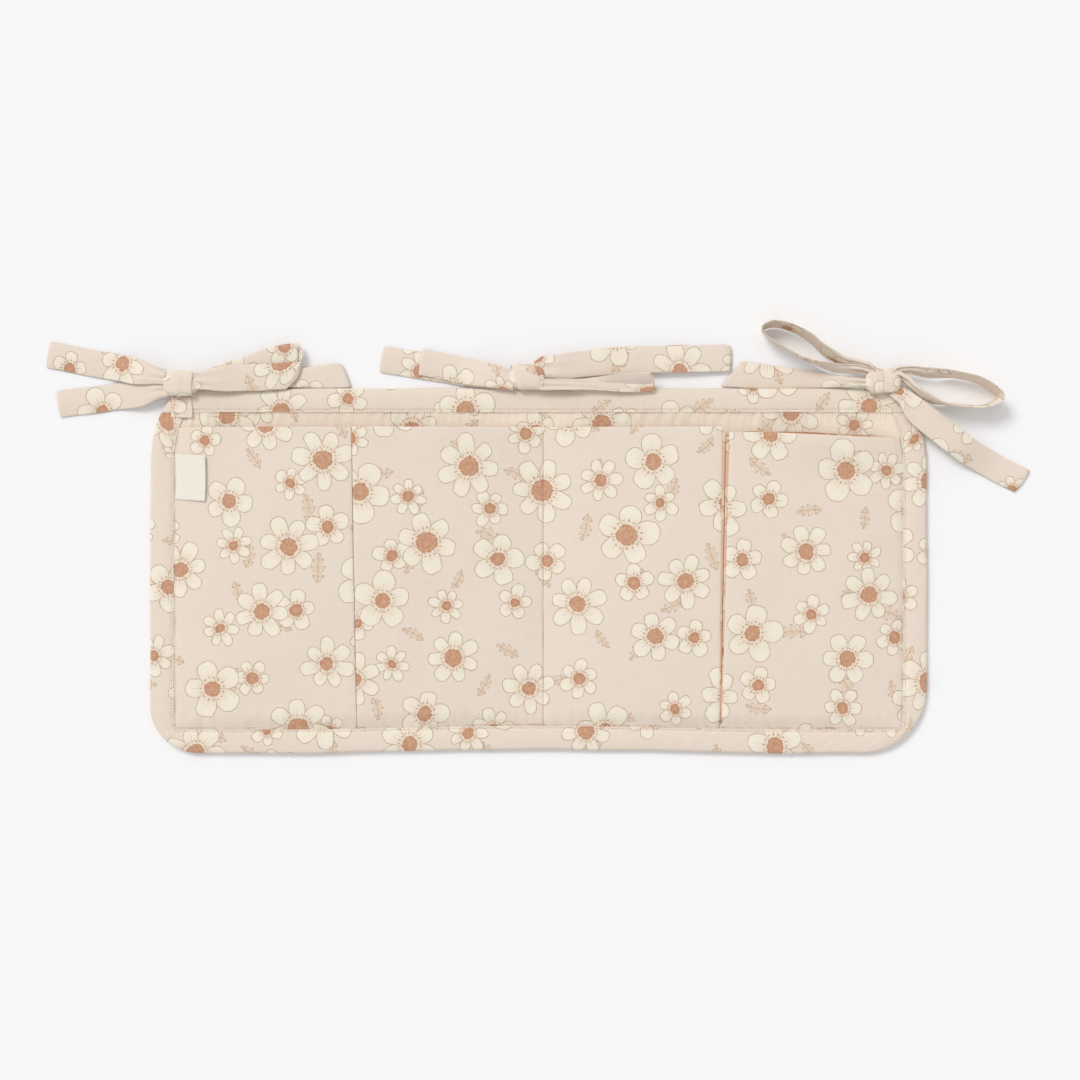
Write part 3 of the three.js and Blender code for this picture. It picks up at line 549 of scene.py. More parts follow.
def column_edges(x, inset):
    """Lowest and highest y of the panel at x, at an inset from its edge."""
    turn = bottom_turn(inset, x)
    into = np.clip((np.abs(x) - (HALF_W - turn)) / (turn - inset), 0, 1)
    low = -(HALF_H - turn) - (turn - inset) * np.sqrt(1 - into * into) + arch_at(x)
    into = np.clip((np.abs(x) - (HALF_W - TOP_RUN)) / (TOP_RUN - inset), 0, 1)
    high = (HALF_H - TOP_DROP) + (TOP_DROP - inset) * np.sqrt(1 - into * into)
    return low, high


def from_edge(x, y, inset):
    """Distance of a place from the panel's edge at an inset."""
    low, high = column_edges(x, inset)
    return np.minimum(np.minimum(y - low, high - y), HALF_W - inset - np.abs(x))


def panel_grid(inset, cols=300, rows=110):
    t = np.linspace(-1, 1, cols)
    x = (HALF_W - inset) * np.sin(t * math.pi / 2) * 0.25 + (HALF_W - inset) * t * 0.75
    low, high = column_edges(x, inset)
    v = np.linspace(0, 1, rows)[:, None]
    return x + 0 * v, mix(low, high, v)


def front_cloth():
    x, y = panel_grid(CLOTH_INSET, 380, 124)
    gathers = waves(x, y * 0.2, 8.0, 5, 8, 0.5) * 0.7 + waves(x, y * 0.3, 4.0, 6, 8, 0.5) * 0.2
    pucker = bump(y, 118.0, 7.0) * gathers
    z = 5.0 + waves(x, y, 70, 3) * 0.12 + pucker * (1 - smooth((y - 119) / 3)) + bump(y, 122.5, 2.6) * 0.6
    # Its material carries painted light: a lighter ground against the shade in the strip under the header.
    return shell("front_cloth_sheet", (x, y, z), (x + 740, y + 210), CLOTH, FRONT_PAINTED_LIGHT)


def back_cloth():
    x, y = panel_grid(CLOTH_INSET)
    edge = from_edge(x, y, CLOTH_INSET)
    rise = 1.1 * (1 - smooth((edge - 15) / 9))
    dimple = np.abs(waves(x, y, 55, 9)) * 0.25 * smooth((edge - 20) / 20)
    return shell("back_cloth_sheet", (x, y, 0.62 + rise + dimple), (1310 - x, y - 430), CLOTH, LINING)


def padding():
    inset = 3.2
    x, y = panel_grid(inset, 160, 70)
    rise = 1.1 * (1 - smooth((from_edge(x, y, inset) - 13) / 12))
    soft = waves(x, y, 26, 14) * 0.06
    return shell("padding_core", (x, y, 3.95 + soft), (x, y), 2.75 - rise + soft, WOOL)


# Binding: one ring folded round the edge, cut into the header band and the rest
def binding_run(x, y, late):
    """Way along the binding from the top's middle, square to the edge, so that its print isn't sheared."""
    high_x, high_y, high_turn = 262.0, 84.0, 45.0
    low_x, low_y, low_turn = 266.0, -107.0, 27.0
    out = np.abs(x)
    corner = np.arctan2(np.maximum(out - high_x, 0), np.maximum(y - high_y, 0.001))
    top_way = np.minimum(out, high_x) + high_turn * corner
    to_side = high_x + high_turn * math.pi / 2 + high_y
    corner = np.arctan2(np.maximum(low_y - y, 0), np.maximum(out - low_x, 0.001))
    to_corner = to_side - low_y
    low_way = to_corner + low_turn * corner + low_x - np.minimum(out, low_x)
    way = np.where(y > high_y, top_way, np.where(y < low_y, low_way, to_side - y))
    whole = 2 * (to_corner + low_turn * math.pi / 2 + low_x)
    return np.where(x < 0, way, np.where(late, whole - way, -way))


def binding_ring():
    front = [(18.5, 6.04), (18.25, 6.14), (17.7, 6.1), (16.9, 5.88), (16.2, 6.1), (15.4, 6.3)]
    front += [(14.2, 6.45), (12.4, 6.52), (10.4, 6.56), (8.2, 6.54), (6.2, 6.42), (4.4, 6.2), (3.2, 5.98)]
    angles = np.radians([72, 52, 32, 12, -10, -32, -54, -74])
    edge = [(2.6 - 2.6 * math.cos(a) * 0.99, 3.05 + 3.0 * math.sin(a)) for a in angles]
    back = [(3.4, 0.02), (6.0, 0.0), (9.0, 0.0), (12.0, 0.0), (15.0, 0.0), (17.4, 0.02), (18.4, 0.15)]
    inner = [(18.4, 0.68), (15.0, 0.72), (9.0, 0.72), (4.0, 0.75)]
    inner += [(2.6 - 1.75 * math.cos(a), 3.05 + 2.2 * math.sin(a)) for a in reversed(angles[::2])]
    inner += [(4.2, 5.42), (8.2, 5.6), (12.4, 5.6), (16.0, 5.45), (18.4, 5.72)]
    section = front + edge + back + inner
    base = outline(0.0)
    first = int(np.argmax(base[:, 1] > CUT_Y + 0.6))
    base = np.roll(base, -first, 0)
    run = run_along([*base, base[0]])
    turn = run[:-1] / run[-1] * 2 * math.pi
    sway = (np.sin(9 * turn + 1) + np.sin(14 * turn + 2) + np.sin(23 * turn)) * 0.16
    ripple_a = np.sin(190 * turn + 3 * np.sin(13 * turn))
    ripple_a = ripple_a + 0.8 * np.sin(131 * turn + 2 * np.sin(9 * turn + 1))
    ripple_b = np.sin(167 * turn + 3 * np.sin(11 * turn + 2)) + 0.8 * np.sin(113 * turn)
    swell = np.sin(31 * turn + 1.5 * np.sin(7 * turn)) * 0.5 + np.sin(19 * turn + 2)
    outward = (base - np.roll(outline(5.0), -first, 0)) / 5.0
    rings, places = [], []
    for index, (inset, z) in enumerate(section):
        line = np.roll(outline(inset), -first, 0)
        flat = np.zeros(len(line)) + z
        if index < len(front):
            near = bump(inset, 16.4, 3.2)
            flat = flat + ripple_a * near * 0.12 + ripple_b * bump(inset, 6.5, 4.5) * 0.12
            flat = flat + swell * bump(inset, 10, 5) * 0.2
        line = line + outward * (sway * (1 - smooth(inset / 12)))[:, None]
        rings.append(np.column_stack([line, flat]))
        side = inset if index < len(front) + 4 else -inset - 4
        way = binding_run(line[:, 0], line[:, 1], turn > math.pi)
        places.append(np.column_stack([way, 0 * way + 57.0 + side]))
    return np.stack(rings, 1), np.stack(places, 1)


def cut(obj, y, keep_above):
    """Cuts a closed mesh square at y, in mm, and closes the cut."""
    bm = bmesh.new()
    bm.from_mesh(obj.data)
    every = [*bm.verts, *bm.edges, *bm.faces]
    parted = {"clear_inner": keep_above, "clear_outer": not keep_above}
    found = bmesh.ops.bisect_plane(bm, geom=every, plane_co=(0, y * MM, 0), plane_no=(0, 1, 0), **parted)
    edges = [e for e in found["geom_cut"] if isinstance(e, bmesh.types.BMEdge)]
    bmesh.ops.holes_fill(bm, edges=edges)
    bmesh.ops.recalc_face_normals(bm, faces=bm.faces)
    bm.to_mesh(obj.data)
    bm.free()


def bindings():
    rings, cloth = binding_ring()
    for name, shift, above_cut, keep_above in (
        ("edge_binding", (0, 0), -0.1, False),
        ("header_band", (3, 260), 0.1, True),
    ):
        obj = hoop(f"{name}_cloth", rings, cloth + shift)
        cut(obj, CUT_Y + above_cut, keep_above)
        dress(obj, "panel", name)


# Pockets
def left_division(v):
    """Line between two pockets, and half the gap there."""
    return -0.473 * HALF_W + 4 * (1 - v) - 2, 0.4


def right_division(v):
    return 0.474 * HALF_W - 4 * (1 - v) + 2, mix(2.2, 5.8, v) / 2


# Sewn side, way to the fold, dip of the mouth at its sewn end, reach of the painted-shade strip along its
# mouth, division, place on the cloth
POCKETS = {
    "1": (-SEWN_X, 1, 0.0, 0.35, left_division, (31, 44)),
    "2": (SEAM_X, -1, 0.0, 0.35, left_division, (517, 182)),
    "3": (SEAM_X, 1, 0.0, 0.45, right_division, (517, 182)),
    "4": (SEWN_X, -1, 8.0, 2.3, right_division, (911, 366)),
}


def pocket_place(name, u, v):
    sewn, side, dip, _, division, _ = POCKETS[name]
    line, gap = division(v)
    if abs(sewn) == SEWN_X:
        corner_y, corner_high, corner_run = 78, 44.4, 13.3
        into = np.clip((mix(-CUT_Y, MOUTH_Y, v) - corner_y) / corner_high, 0, 1)
        sewn = math.copysign(1, sewn) * (269 + corner_run * np.sqrt(1 - into * into))
    x = mix(sewn, line - side * gap, u)
    radius = 3.9
    into = np.clip(np.abs(x) - 278.4, 0, radius)
    bottom = -HALF_H + BIND - 0.8 + arch_at(x) + radius - np.sqrt(radius * radius - into * into)
    top = MOUTH_Y - dip * (1 - smooth(u) / 2)
    return x, mix(bottom, top, v)


def pocket_top(name, u, v, x, y):
    """Height of a pocket's cloth, which sinks in under the binding at its sewn edges."""
    seed = int(name) * 17
    from_side = u * POCKET_WIDE if name in "14" else 99 + u
    from_bottom = v * POCKET_HIGH
    sunk = 1 - smooth(np.minimum(from_side, from_bottom) / 7)
    soft = waves(x, y, 105, seed) * 0.75 + waves(x, y, 46, seed + 1) * 0.22
    gape = GAPE * (1 - (1 - u) ** 3) * mix(0.38, 1, 1 - (1 - v) ** 4)
    raised = gape * smooth(from_bottom / 13)
    return LEAF_LOW + FRONT_THICK - 1.12 * sunk + raised + soft * smooth(u * 3) * smooth(v * 4)


def mouth_rise(name, u, v, x, y):
    """How far the mouth's edge waves, and in the fourth pocket gapes, above the pocket's cloth."""
    waved = smooth((v - 0.9) / 0.1) * waves(x, y * 0.3, 55, int(name) * 17 + 4) * 0.5 * smooth(u * 4)
    gaping = smooth((v - 0.84) / 0.16) * bump(u, 0.42, 0.3) * 4.0 if name == "4" else 0.0
    return waved + gaping


def shares(count, ends=0.35):
    t = np.linspace(0, 1, count)
    return mix(t, (1 - np.cos(t * math.pi)) / 2, ends)


def pocket_front(name):
    *_, (ox, oy) = POCKETS[name]
    seed = int(name) * 17
    u, v = np.meshgrid(shares(84), shares(120))
    x, y = pocket_place(name, u, v)
    seam = bump(u, 0, 0.07) * waves(x * 0.3, y, 11, seed + 2, 7, 0.6) * 0.3
    seam = seam + bump(v, 0.03, 0.035) * waves(x, y * 0.3, 9, seed + 3) * 0.45
    z = pocket_top(name, u, v, x, y) + seam + mouth_rise(name, u, v, x, y) - bump(u, 1, 0.012) * 0.35
    if name == "4":
        along = (x - 246) * 0.83 - (y - 76) * 0.55
        across = (x - 246) * 0.55 + (y - 76) * 0.83
        for aside, wide, ahead, reach, rise in ((0, 4.5, 0, 26, -1.5), (8, 6, 0, 30, 1), (-14, 5, 9, 18, -0.7)):
            z = z + bump(across, aside, wide) * bump(along, ahead, reach) * rise
    if name == "3":
        z = z + bump(x, 47.5, 3.2) * bump(y, -119, 9) * 1.1 - bump(x, 52.5, 2.2) * bump(y, -119, 7) * 0.7
    if name in "23":
        z = z - bump(u, 0, 0.006) * 0.35
    hem = smooth((v - 0.955) / 0.006)
    thick = mix(0.5, 0.75, smooth(v * 30)) + hem * 0.45
    return shell(f"pocket_cloth_{name}", (x, y, z + hem * 0.16), (x + ox, y + oy), thick, COTTON, 0.5)


def pleat(name):
    """The cloth folded in beside a pocket, from the panel to the pleat's depth and back to the fold edge."""
    _, side, _, _, division, (ox, oy) = POCKETS[name]
    v = np.linspace(0.03, 0.985, 90)[:, None]
    w = np.linspace(0, 1, 41)[None, :]
    x1, y = pocket_place(name, 1.0 + 0 * v, v)
    over = pocket_top(name, 1.0, v, x1, y)
    start = division(v)[0] - side * 0.2
    apex = x1 - side * (PLEAT_DEPTH + waves(y, y * 0, 60, int(name) + 40) * 0.8)
    x = np.where(w < 0.5, mix(start, apex, np.clip(w * 2, 0, 1)), mix(apex, x1, np.clip(w * 2 - 1, 0, 1)))
    z = mix(LEAF_LOW + 0.45, over - 1.35, smooth(w)) - np.sin(w * math.pi * 2) * 0.25
    z = z + waves(x, y, 30, int(name) + 50) * 0.12 * np.sin(w * math.pi)
    begin, run = (0.05, 0.12) if name in "34" else (0.01, 0.08)
    z = mix(z, over - 1.0, 1 - smooth((w - begin) / run))
    y = y + 0 * w
    across = np.abs(w - 0.5) * 2 * PLEAT_DEPTH
    cloth = (ox + side * across + start, y + oy)
    # The pleat's material is a darker cotton, painted shade inside the fold.
    return shell(f"pleat_cloth_{name}", (x, y, z), cloth, 0.45, FOLD_PAINTED_SHADE, 0.3)


def mouth_hem_painted_shade(name):
    """A dark cotton tube along a pocket's mouth, shaped as the cloth's turned-in edge: painted shade for the
    shadow along the mouth.
    """
    u, v = np.linspace(0.05, 0.97, 70), np.ones(70)
    x, y = pocket_place(name, u, v)
    z = pocket_top(name, u, v, x, y) + mouth_rise(name, u, v, x, y) - 0.95
    full = np.sin(np.linspace(0, 1, 70) * math.pi) ** 0.5 * (0.85 + 0.15 * waves(x, 0 * x, 30, 41))
    angle = turns(12)
    y = y[:, None] - 1.0 + (1.0 + POCKETS[name][3] * full[:, None]) * np.cos(angle)
    rings = np.stack([x[:, None] + 0 * angle, y, z[:, None] + 0.35 * np.sin(angle)], -1)
    return tube(f"mouth_hem_painted_shade_{name}", rings, rings[:, :, :2], MOUTH_PAINTED_SHADE)


def lift_pocket(obj):
    """Bakes the piece's placement into its mesh."""
    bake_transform(obj)


def label():
    u, v = np.meshgrid(np.linspace(0, 1, 26), np.linspace(0, 1, 34))
    y = mix(55.2, 90.2, v) - 1.4 * u
    x = -280.2 + 23.4 * u + 0.5 * np.sin(v * math.pi)
    low = pocket_top("1", (x + SEWN_X) / 137, (y + 122) / POCKET_HIGH, x, y)
    z = low + 0.75 + 0.4 * u + 1.5 * u**3 * (0.7 + 0.5 * v) + waves(x, y, 26, 77) * 0.12
    return shell("label_ribbon_piece", (x, y, z), (x, y), 0.42, RIBBON)


STITCH, STITCH_GAP, YARN_RADIUS = 1.6, 0.6, 0.27


def stitches(name, path, pocket=None, height=0.16):
    """Short threads along a line that lies on a surface."""
    run, pitch = run_along(path), STITCH + STITCH_GAP
    count = int(run[-1] // pitch)
    random = np.random.default_rng(len(name) * 7 + count)
    sides, rings = 6, 5
    angle, quads = turns(sides), np.array(ring_faces(rings, sides))
    share = np.abs(np.linspace(-1, 1, rings))[:, None]
    thin = YARN_RADIUS * (1 - 0.45 * share**2)
    points, faces, places = [], [], []
    for k in range(count):
        at = (k + 0.5) * pitch + random.normal(0, 0.06) + np.linspace(-0.5, 0.5, rings)[:, None] * STITCH
        x, y, z = (np.interp(at, run, path[:, i]) for i in range(3))
        dx, dy = unit(np.array([x[-1, 0] - x[0, 0], y[-1, 0] - y[0, 0]]))
        aside = np.cos(angle) * thin
        z = z + height - 0.42 * share**2.2 + np.sin(angle) * thin
        points.append(np.stack([x - dy * aside, y + dx * aside, z], -1))
        places.append(np.stack([at + 0 * angle, 0.3 * angle + 0 * at], -1))
        first = k * rings * sides
        last = first + (rings - 1) * sides
        faces += [*(quads + first).tolist(), range(first, first + sides), range(last, last + sides)[::-1]]
    obj = make(name, np.reshape(points, (-1, 3)), faces, np.reshape(places, (-1, 2)), YARN)
    if pocket:
        lift_pocket(obj)
    else:
        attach(obj, "panel")


# Straps
TURN, DROP_RUN, BEND_RUN = 16.0, 45.0, 17.0
STRAP, STRAP_THICK, PITCH, PUFF = 20.5, 1.4, 2.0, 2.2
KNOT_LENGTH, KNOT_HEIGHT, KNOT_MIDDLE = 21.5, 9.0, 10.9
KNOT_BREADTH = STRAP * 0.94
TABLE_Z, HEADER_Z = 1.3, 7.1
# Each knot's place along the top edge and lap over it; its band's width, lean and distance off the middle
TIES = {
    "left": (-275.3, 6.2, 17, 0.3, 0.6),
    "centre": (-8.9, 1.5, 18.5, -3.2, -0.2),
    "right": (265.3, 4.6, 9.5, 0.2, -5.2),
}


def knot_centre(tie):
    x, lap, *_ = TIES[tie]
    return np.array([x, HALF_H - lap + KNOT_BREADTH / 2, KNOT_MIDDLE])


def strap_start(tie, side, root, up):
    return knot_centre(tie) + (side * (KNOT_LENGTH / 2 + 0.5), root * STRAP, up * KNOT_HEIGHT)


def directions(heading):
    a = math.radians(heading)
    return np.array([math.cos(a), math.sin(a), 0]), np.array([-math.sin(a), math.cos(a), 0])


def across_at(aside, side, distance):
    square = np.array([0.0, side, 0.0])
    return unit(mix(square, aside, smooth(distance / TURN)))


def width_at(share, gather, root, far):
    return STRAP * mix(root, far, smooth(share / gather))


def tail(tie, side, heading, length, root, up, tip, narrow, gather, drop, rest=TABLE_Z, bow=0, slant=0):
    """Stations of a free end, dropping from the knot to what it lies on."""
    start = strap_start(tie, side, root, up)
    along, aside = directions(heading)
    stations = []
    for share in np.linspace(0, 1, 34):
        shift = tip * smooth(share) + bow * math.sin(math.pi * share)
        centre = start + along * share * length + aside * shift * STRAP
        centre[2] = mix(start[2], rest, smooth((share - drop) * length / DROP_RUN))
        across = across_at(aside, side, share * length) + along * (slant * smooth((share - 0.8) / 0.2))
        stations.append((centre, across, width_at(share, gather, narrow, 1), share * length))
    return stations


def flat_loop(tie, heading, length, rest, puff, root, up, gather, spread, low_form, high_form, low_tilt=0.0):
    """Stations out along the lower strand, round a fold and back along the upper strand."""
    start = strap_start(tie, 1, root, up)
    along, aside = directions(heading)
    opens, opened = spread

    def strand(share, form, lift, tilt):
        shift, near, far, slant, reach = form
        opening = smooth((share - opens) / (opened - opens))
        centre = start + along * share * reach * length + aside * shift * STRAP * opening
        centre[2] = mix(start[2], rest, smooth(share * length / DROP_RUN)) + lift
        across = across_at(aside, 1, share * length) + along * slant * smooth((share - 0.6) / 0.4)
        across[2] = tilt * smooth((share - 0.25) / 0.4)
        width = width_at(share, gather, near, far)
        centre[2] += across[2] * width / 2
        return centre, across, width, share * length

    out = [strand(x, low_form, 0, low_tilt) for x in np.linspace(0, 0.97, 30)]
    back = [strand(x, high_form, PITCH + puff * math.sin(math.pi * x), 0) for x in np.linspace(0.97, 0, 30)]
    low, high = out[-1], back[0]
    fold = []
    for turn in (0.06, 0.2, 0.35, 0.5, 0.65, 0.8, 0.94):
        bulge = math.sin(math.pi * turn)
        centre, across, width = (mix(a, b, turn) for a, b in zip(low[:3], high[:3]))
        fold.append((centre + along * 0.03 * bulge * length, across, width * (1 - 0.07 * bulge), length))
    return out + fold + back


def spline(values, count):
    """Smooth values between stations, by cubic steps."""
    values = np.asarray(values, float)
    n = len(values)
    t = np.linspace(0, n - 1, count)
    i = np.clip(t.astype(int), 0, n - 2)
    f = (t - i)[:, None]
    p0, p1, p2, p3 = (values[np.clip(i + k, 0, n - 1)] for k in (-1, 0, 1, 2))
    return p1 + 0.5 * f * (p2 - p0 + f * (2 * p0 - 5 * p1 + 4 * p2 - p3 + f * (3 * (p1 - p2) + p3 - p0)))


def standing_loop(side, heading, length, root, narrow, route):
    """Stations of a loop on its edge along a plan route, lying over at its root, then leaning outwards."""
    start = strap_start("right", side, root, 0)
    along, aside = directions(heading)
    count, gather = 72, 0.6
    route = spline(route, count)
    opened = smooth(route[:, :1] / gather)
    centres = start + along * route[:, :1] * length + aside * route[:, 1:] * STRAP
    centres[:, 2] = mix(start[2], 0.4 + STRAP / 2, opened[:, 0])
    out = unit(np.cross((0, 0, side), np.gradient(centres, axis=0)))
    lean = mix(0.21, 0.1, smooth((np.linspace(0, 1, count)[:, None] - 0.35) / 0.3))
    across = unit(mix(np.array([0, 1.0, 0]), out * lean, opened) + (0, 0, 1))
    widths = width_at(route[:, 0], gather, narrow, 1)
    return list(zip(centres, across, widths, np.abs(route[:, 0]) * length))


def strap(name, stations, seed, ox=0.0):
    """A folded tape along stations of (centre, across, width, distance from the knot)."""
    centres, across, widths, from_knot = (np.array(parts) for parts in zip(*stations))
    normal = unit(np.cross(np.gradient(centres, axis=0), across))
    run = run_along(centres)
    t = np.sin(np.linspace(-1, 1, 15) * math.pi / 2)
    body = (1 - np.abs(t) ** 5) ** 0.5
    rings, places = [], []
    for k in range(len(stations)):
        gather = 1 - widths[k] / STRAP
        near = math.exp(-from_knot[k] / 22)
        fold = (0.25 + 1.5 * gather) * near
        crease = fold * np.cos(t * 7.0 + seed + from_knot[k] * 0.05)
        crease = crease + fold * 0.5 * np.sin(t * 12.0 + seed * 2)
        wrinkle = waves(run[k] + 0 * t, t * 9, 13, seed, 6) * (0.1 + 0.3 * near)
        wrinkle = wrinkle + waves(run[k] + 0 * t, t * 2, 34, seed + 5, 5) * 0.3
        line = crease + wrinkle - 0.35 * t * t * (1 - near)
        pad = STRAP_THICK * (0.5 + 0.22 * np.cos(t * math.pi / 2) - 0.12 * bump(np.abs(t), 0.8, 0.08))
        sway = waves(np.array(run[k]), np.array(0.0), 45, seed + 9, 4) * 0.35
        place = centres[k] + across[k] * (t * widths[k] / 2 + sway)[:, None]
        upper, lower = (place + normal[k] * (line + way * pad * body)[:, None] for way in (1, -1))
        rings.append(round_ring(upper, lower))
        v = t * STRAP / 2
        cloth_v = round_ring(v, STRAP - v)
        places.append(np.column_stack([0 * cloth_v + run[k] + ox, cloth_v + seed * 41.0]))
    return tube(name, np.array(rings), np.array(places), COTTON)


# Plan routes of the standing loops: shares of the loop's length along, of the strap's width aside
UP_ROUTE = [
    (0, -0.1), (0.1, -0.03), (0.22, 0.09), (0.42, -0.02), (0.58, -0.22), (0.76, -0.26), (0.9, -0.18),
    (0.98, 0.03), (1, 0.24), (0.94, 0.42), (0.8, 0.49), (0.65, 0.58), (0.5, 0.6), (0.35, 0.52),
    (0.21, 0.37), (0.1, 0.18), (0, 0.1),
]
ROUND_ROUTE = [
    (0, 0.1), (0.05, 0.12), (0.14, 0.17), (0.28, 0.13), (0.44, 0.17), (0.62, 0.15), (0.81, 0.01),
    (0.96, -0.28), (1, -0.46), (0.96, -0.68), (0.85, -0.88), (0.7, -0.95), (0.52, -0.96), (0.38, -0.87),
    (0.24, -0.63), (0.14, -0.35), (0.05, -0.12), (0, -0.08),
]

# A loop's strands: aside, root width, far width, slant and reach, as shares
BACK_STRAND = (0.325, 0.35, 1, -0.4, 1)
STRAPS = {
    "tail_high_left": tail("left", -1, 170, 94, 0.235, 0.12, -0.08, 0.58, 0.3, 0.08),
    "tail_low_left": tail("left", -1, 187, 85, -0.235, -0.12, 0.02, 0.58, 0.3, 0),
    "loop_back_left": flat_loop(
        "left", 0, 115, TABLE_Z, 0, 0.03, -0.42, 1.25, (0, 1.25), BACK_STRAND, BACK_STRAND
    ),
    "loop_front_left": flat_loop(
        "left", 3, 83, TABLE_Z + 4.0, PUFF, 0.1, 0.1, 0.36, (0, 1),
        (0.75, 0.68, 1, 0, 1), (0, 0.68, 1, 0.6, 0.93), 0.14,
    ),
    "tail_back_centre": tail("centre", -1, 170, 102, -0.09, -0.2, 0.06, 0.8, 0.4, 0.05),
    "tail_front_centre": tail("centre", -1, 170, 72, -0.09, 0.08, -0.06, 0.8, 0.5, 0.05, TABLE_Z + PITCH),
    "loop_long_centre": flat_loop(
        "centre", 1, 146, TABLE_Z, PUFF, 0.385, -0.25, 0.17, (0, 0.5),
        (0.26, 0.8, 1, 0, 1), (0.22, 0.8, 1, 0, 1),
    ),
    "loop_short_centre": flat_loop(
        "centre", 0, 87, HEADER_Z, PUFF, -0.28, 0.05, 0.9, (0.32, 0.85),
        (0.16, 0.4, 0.55, -0.15, 1), (-0.11, 0.45, 0.32, -0.15, 1), 0.8,
    ),
    "tail_low_right": tail("right", -1, 176, 105, -0.08, 0, -0.02, 0.36, 0.95, 0.05, slant=0.75),
    "loop_up_right": standing_loop(-1, 156, 87.5, 0.45, 0.38, UP_ROUTE),
    "loop_round_right": standing_loop(1, -6, 80, 0.3, 0.4, ROUND_ROUTE),
    "tail_slant_right": tail("right", 1, -35.5, 119, -0.42, 0, 0.04, 0.7, 0.22, 0.45, bow=-0.26),
}
PARENT = {
    "tail_high_left": "tail_low_left",
    "loop_front_left": "loop_back_left",
    "tail_front_centre": "tail_back_centre",
}


def tucked(stations, tie, is_loop):
    """The stations of a strap with its ends drawn on into the knot."""
    middle = knot_centre(tie)

    def inner(station, share):
        centre, across, width, _ = station
        return centre + (middle - centre) * (0.5, 0.32, 0.3) * share, across, width * (1 - 0.2 * share), 0.0

    first = [inner(stations[0], share) for share in (1, 0.66, 0.33)]
    last = [inner(stations[-1], share) for share in (0.33, 0.66, 1)]
    return first + stations + (last if is_loop else [])


def make_straps():
    for index, (name, visible) in enumerate(STRAPS.items()):
        chained = name in PARENT
        stations = visible if chained else tucked(visible, name.split("_")[-1], "loop" in name)
        obj = strap(f"{name}_cloth", stations, index + 1, index * 173.0)
        dress(obj, None, name)
        rests = ["header_band_cloth"] if "short" in name else []
        held = "laid" if "tail" in name else "folded"
        start = visible[0][0].copy()
        side = math.copysign(1, visible[9][0][0] - start[0])
        start[0] -= side
        end = start + np.array([side * BEND_RUN, 0, 0])
        tuple(start * MM)
        tuple(end * MM)
        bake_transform(obj)


def tie_root(tie):
    x, wide, across = TIES[tie][0], 15.4, np.array([-1.0, 0, 0])
    stations = [
        (np.array([x, HALF_H + 0.3 + share * 8, mix(3.05, 5.4, smooth(share))]), across, wide, 40.0)
        for share in np.linspace(-0.12, 1, 14)
    ]
    obj = strap(f"tie_root_{tie}_cloth", stations, 30 + len(tie))
    dress(obj, "panel", f"tie_root_{tie}")


def rounded_square(c, s):
    return (abs(c) ** 2.8 + abs(s) ** 2.8) ** (1 / 2.8)


def knot(tie, seed):
    """A tight knot: creased straps gathered under one soft band that wraps them."""
    _, _, width, lean, offset = TIES[tie]
    centre, angle = knot_centre(tie), turns(64)
    c, s = np.cos(angle), np.sin(angle)
    rings, places = [], []
    for t in np.linspace(-1, 1, 50):
        size = 0.93 - 0.2 * abs(t) ** 4 - 0.06 * bump(t, 2 * offset / KNOT_LENGTH, 0.45)
        lobes = 0.045 * np.cos(5 * angle + seed + t * 1.2) + 0.028 * np.cos(9 * angle + 2 * seed - t * 2)
        radius = size / rounded_square(c, s) * (1 + lobes * (0.3 + abs(t)))
        x = t * KNOT_LENGTH / 2 + 0 * angle
        rings.append(centre + np.stack([x, radius * c * KNOT_BREADTH / 2, radius * s * KNOT_HEIGHT / 2], 1))
        places.append(np.column_stack([centre[0] + x + seed * 90, angle * 7]))
    core = tube(f"knot_{tie}_core", np.array(rings), np.array(places), COTTON)
    t = np.sin(np.linspace(-1, 1, 21) * math.pi / 2)
    body = np.maximum(1 - np.abs(t) ** 6, 0) ** 0.5
    rings, places = [], []
    for a in turns(110):
        c, s = math.cos(a), math.sin(a)
        radius = 1.0 / rounded_square(c, s)
        wide = width + 0.7 * math.sin(2 * a + seed) - 0.5 * c
        crease = 0.14 * np.cos(t * 5.0 + seed + 1.3 * s) + 0.09 * np.cos(t * 11 + 2 * seed - c)
        base = np.array([0, radius * c * KNOT_BREADTH / 2, radius * s * KNOT_HEIGHT / 2])
        out = unit(np.array([0, c * abs(c) ** 0.6 / KNOT_BREADTH, s * abs(s) ** 0.6 / KNOT_HEIGHT]))
        under = centre + base * 0.93
        upper = under + out * ((0.6 + crease + 0.25 * (1 - t * t)) * body + 0.2)[:, None]
        lower = under - out * (0.5 * body)[:, None]
        for line in (upper, lower):
            line[:, 0] += t * wide / 2 + lean * c + offset
        rings.append(round_ring(upper, lower))
        v = round_ring(t * wide / 2, wide - t * wide / 2)
        places.append(np.column_stack([v + seed * 57, 0 * v + a * 9.0]))
    band = hoop(f"knot_{tie}_band", np.array(rings), np.array(places))
    for obj in (core, band):
        dress(obj, "panel", f"knot_{tie}")


def end_tab():
    u, v = np.meshgrid(shares(24, 0.6), shares(24, 0.6))
    x = mix(-283.0, -267.6, u) + 0.4 * np.sin(v * 5)
    y = mix(119.0, 134.5, v) - 0.8 * u
    fold = bump(u, 0.8, 0.04) + bump(v, 0.33, 0.04)
    z = 7.2 - 0.3 * fold + 0.3 * u * (1 - v) + waves(x, y, 14, 91) * 0.1
    return shell("header_end_tab_cloth", (x, y, z), (x + 131, y + 77), 1.0, COTTON, 0.6)


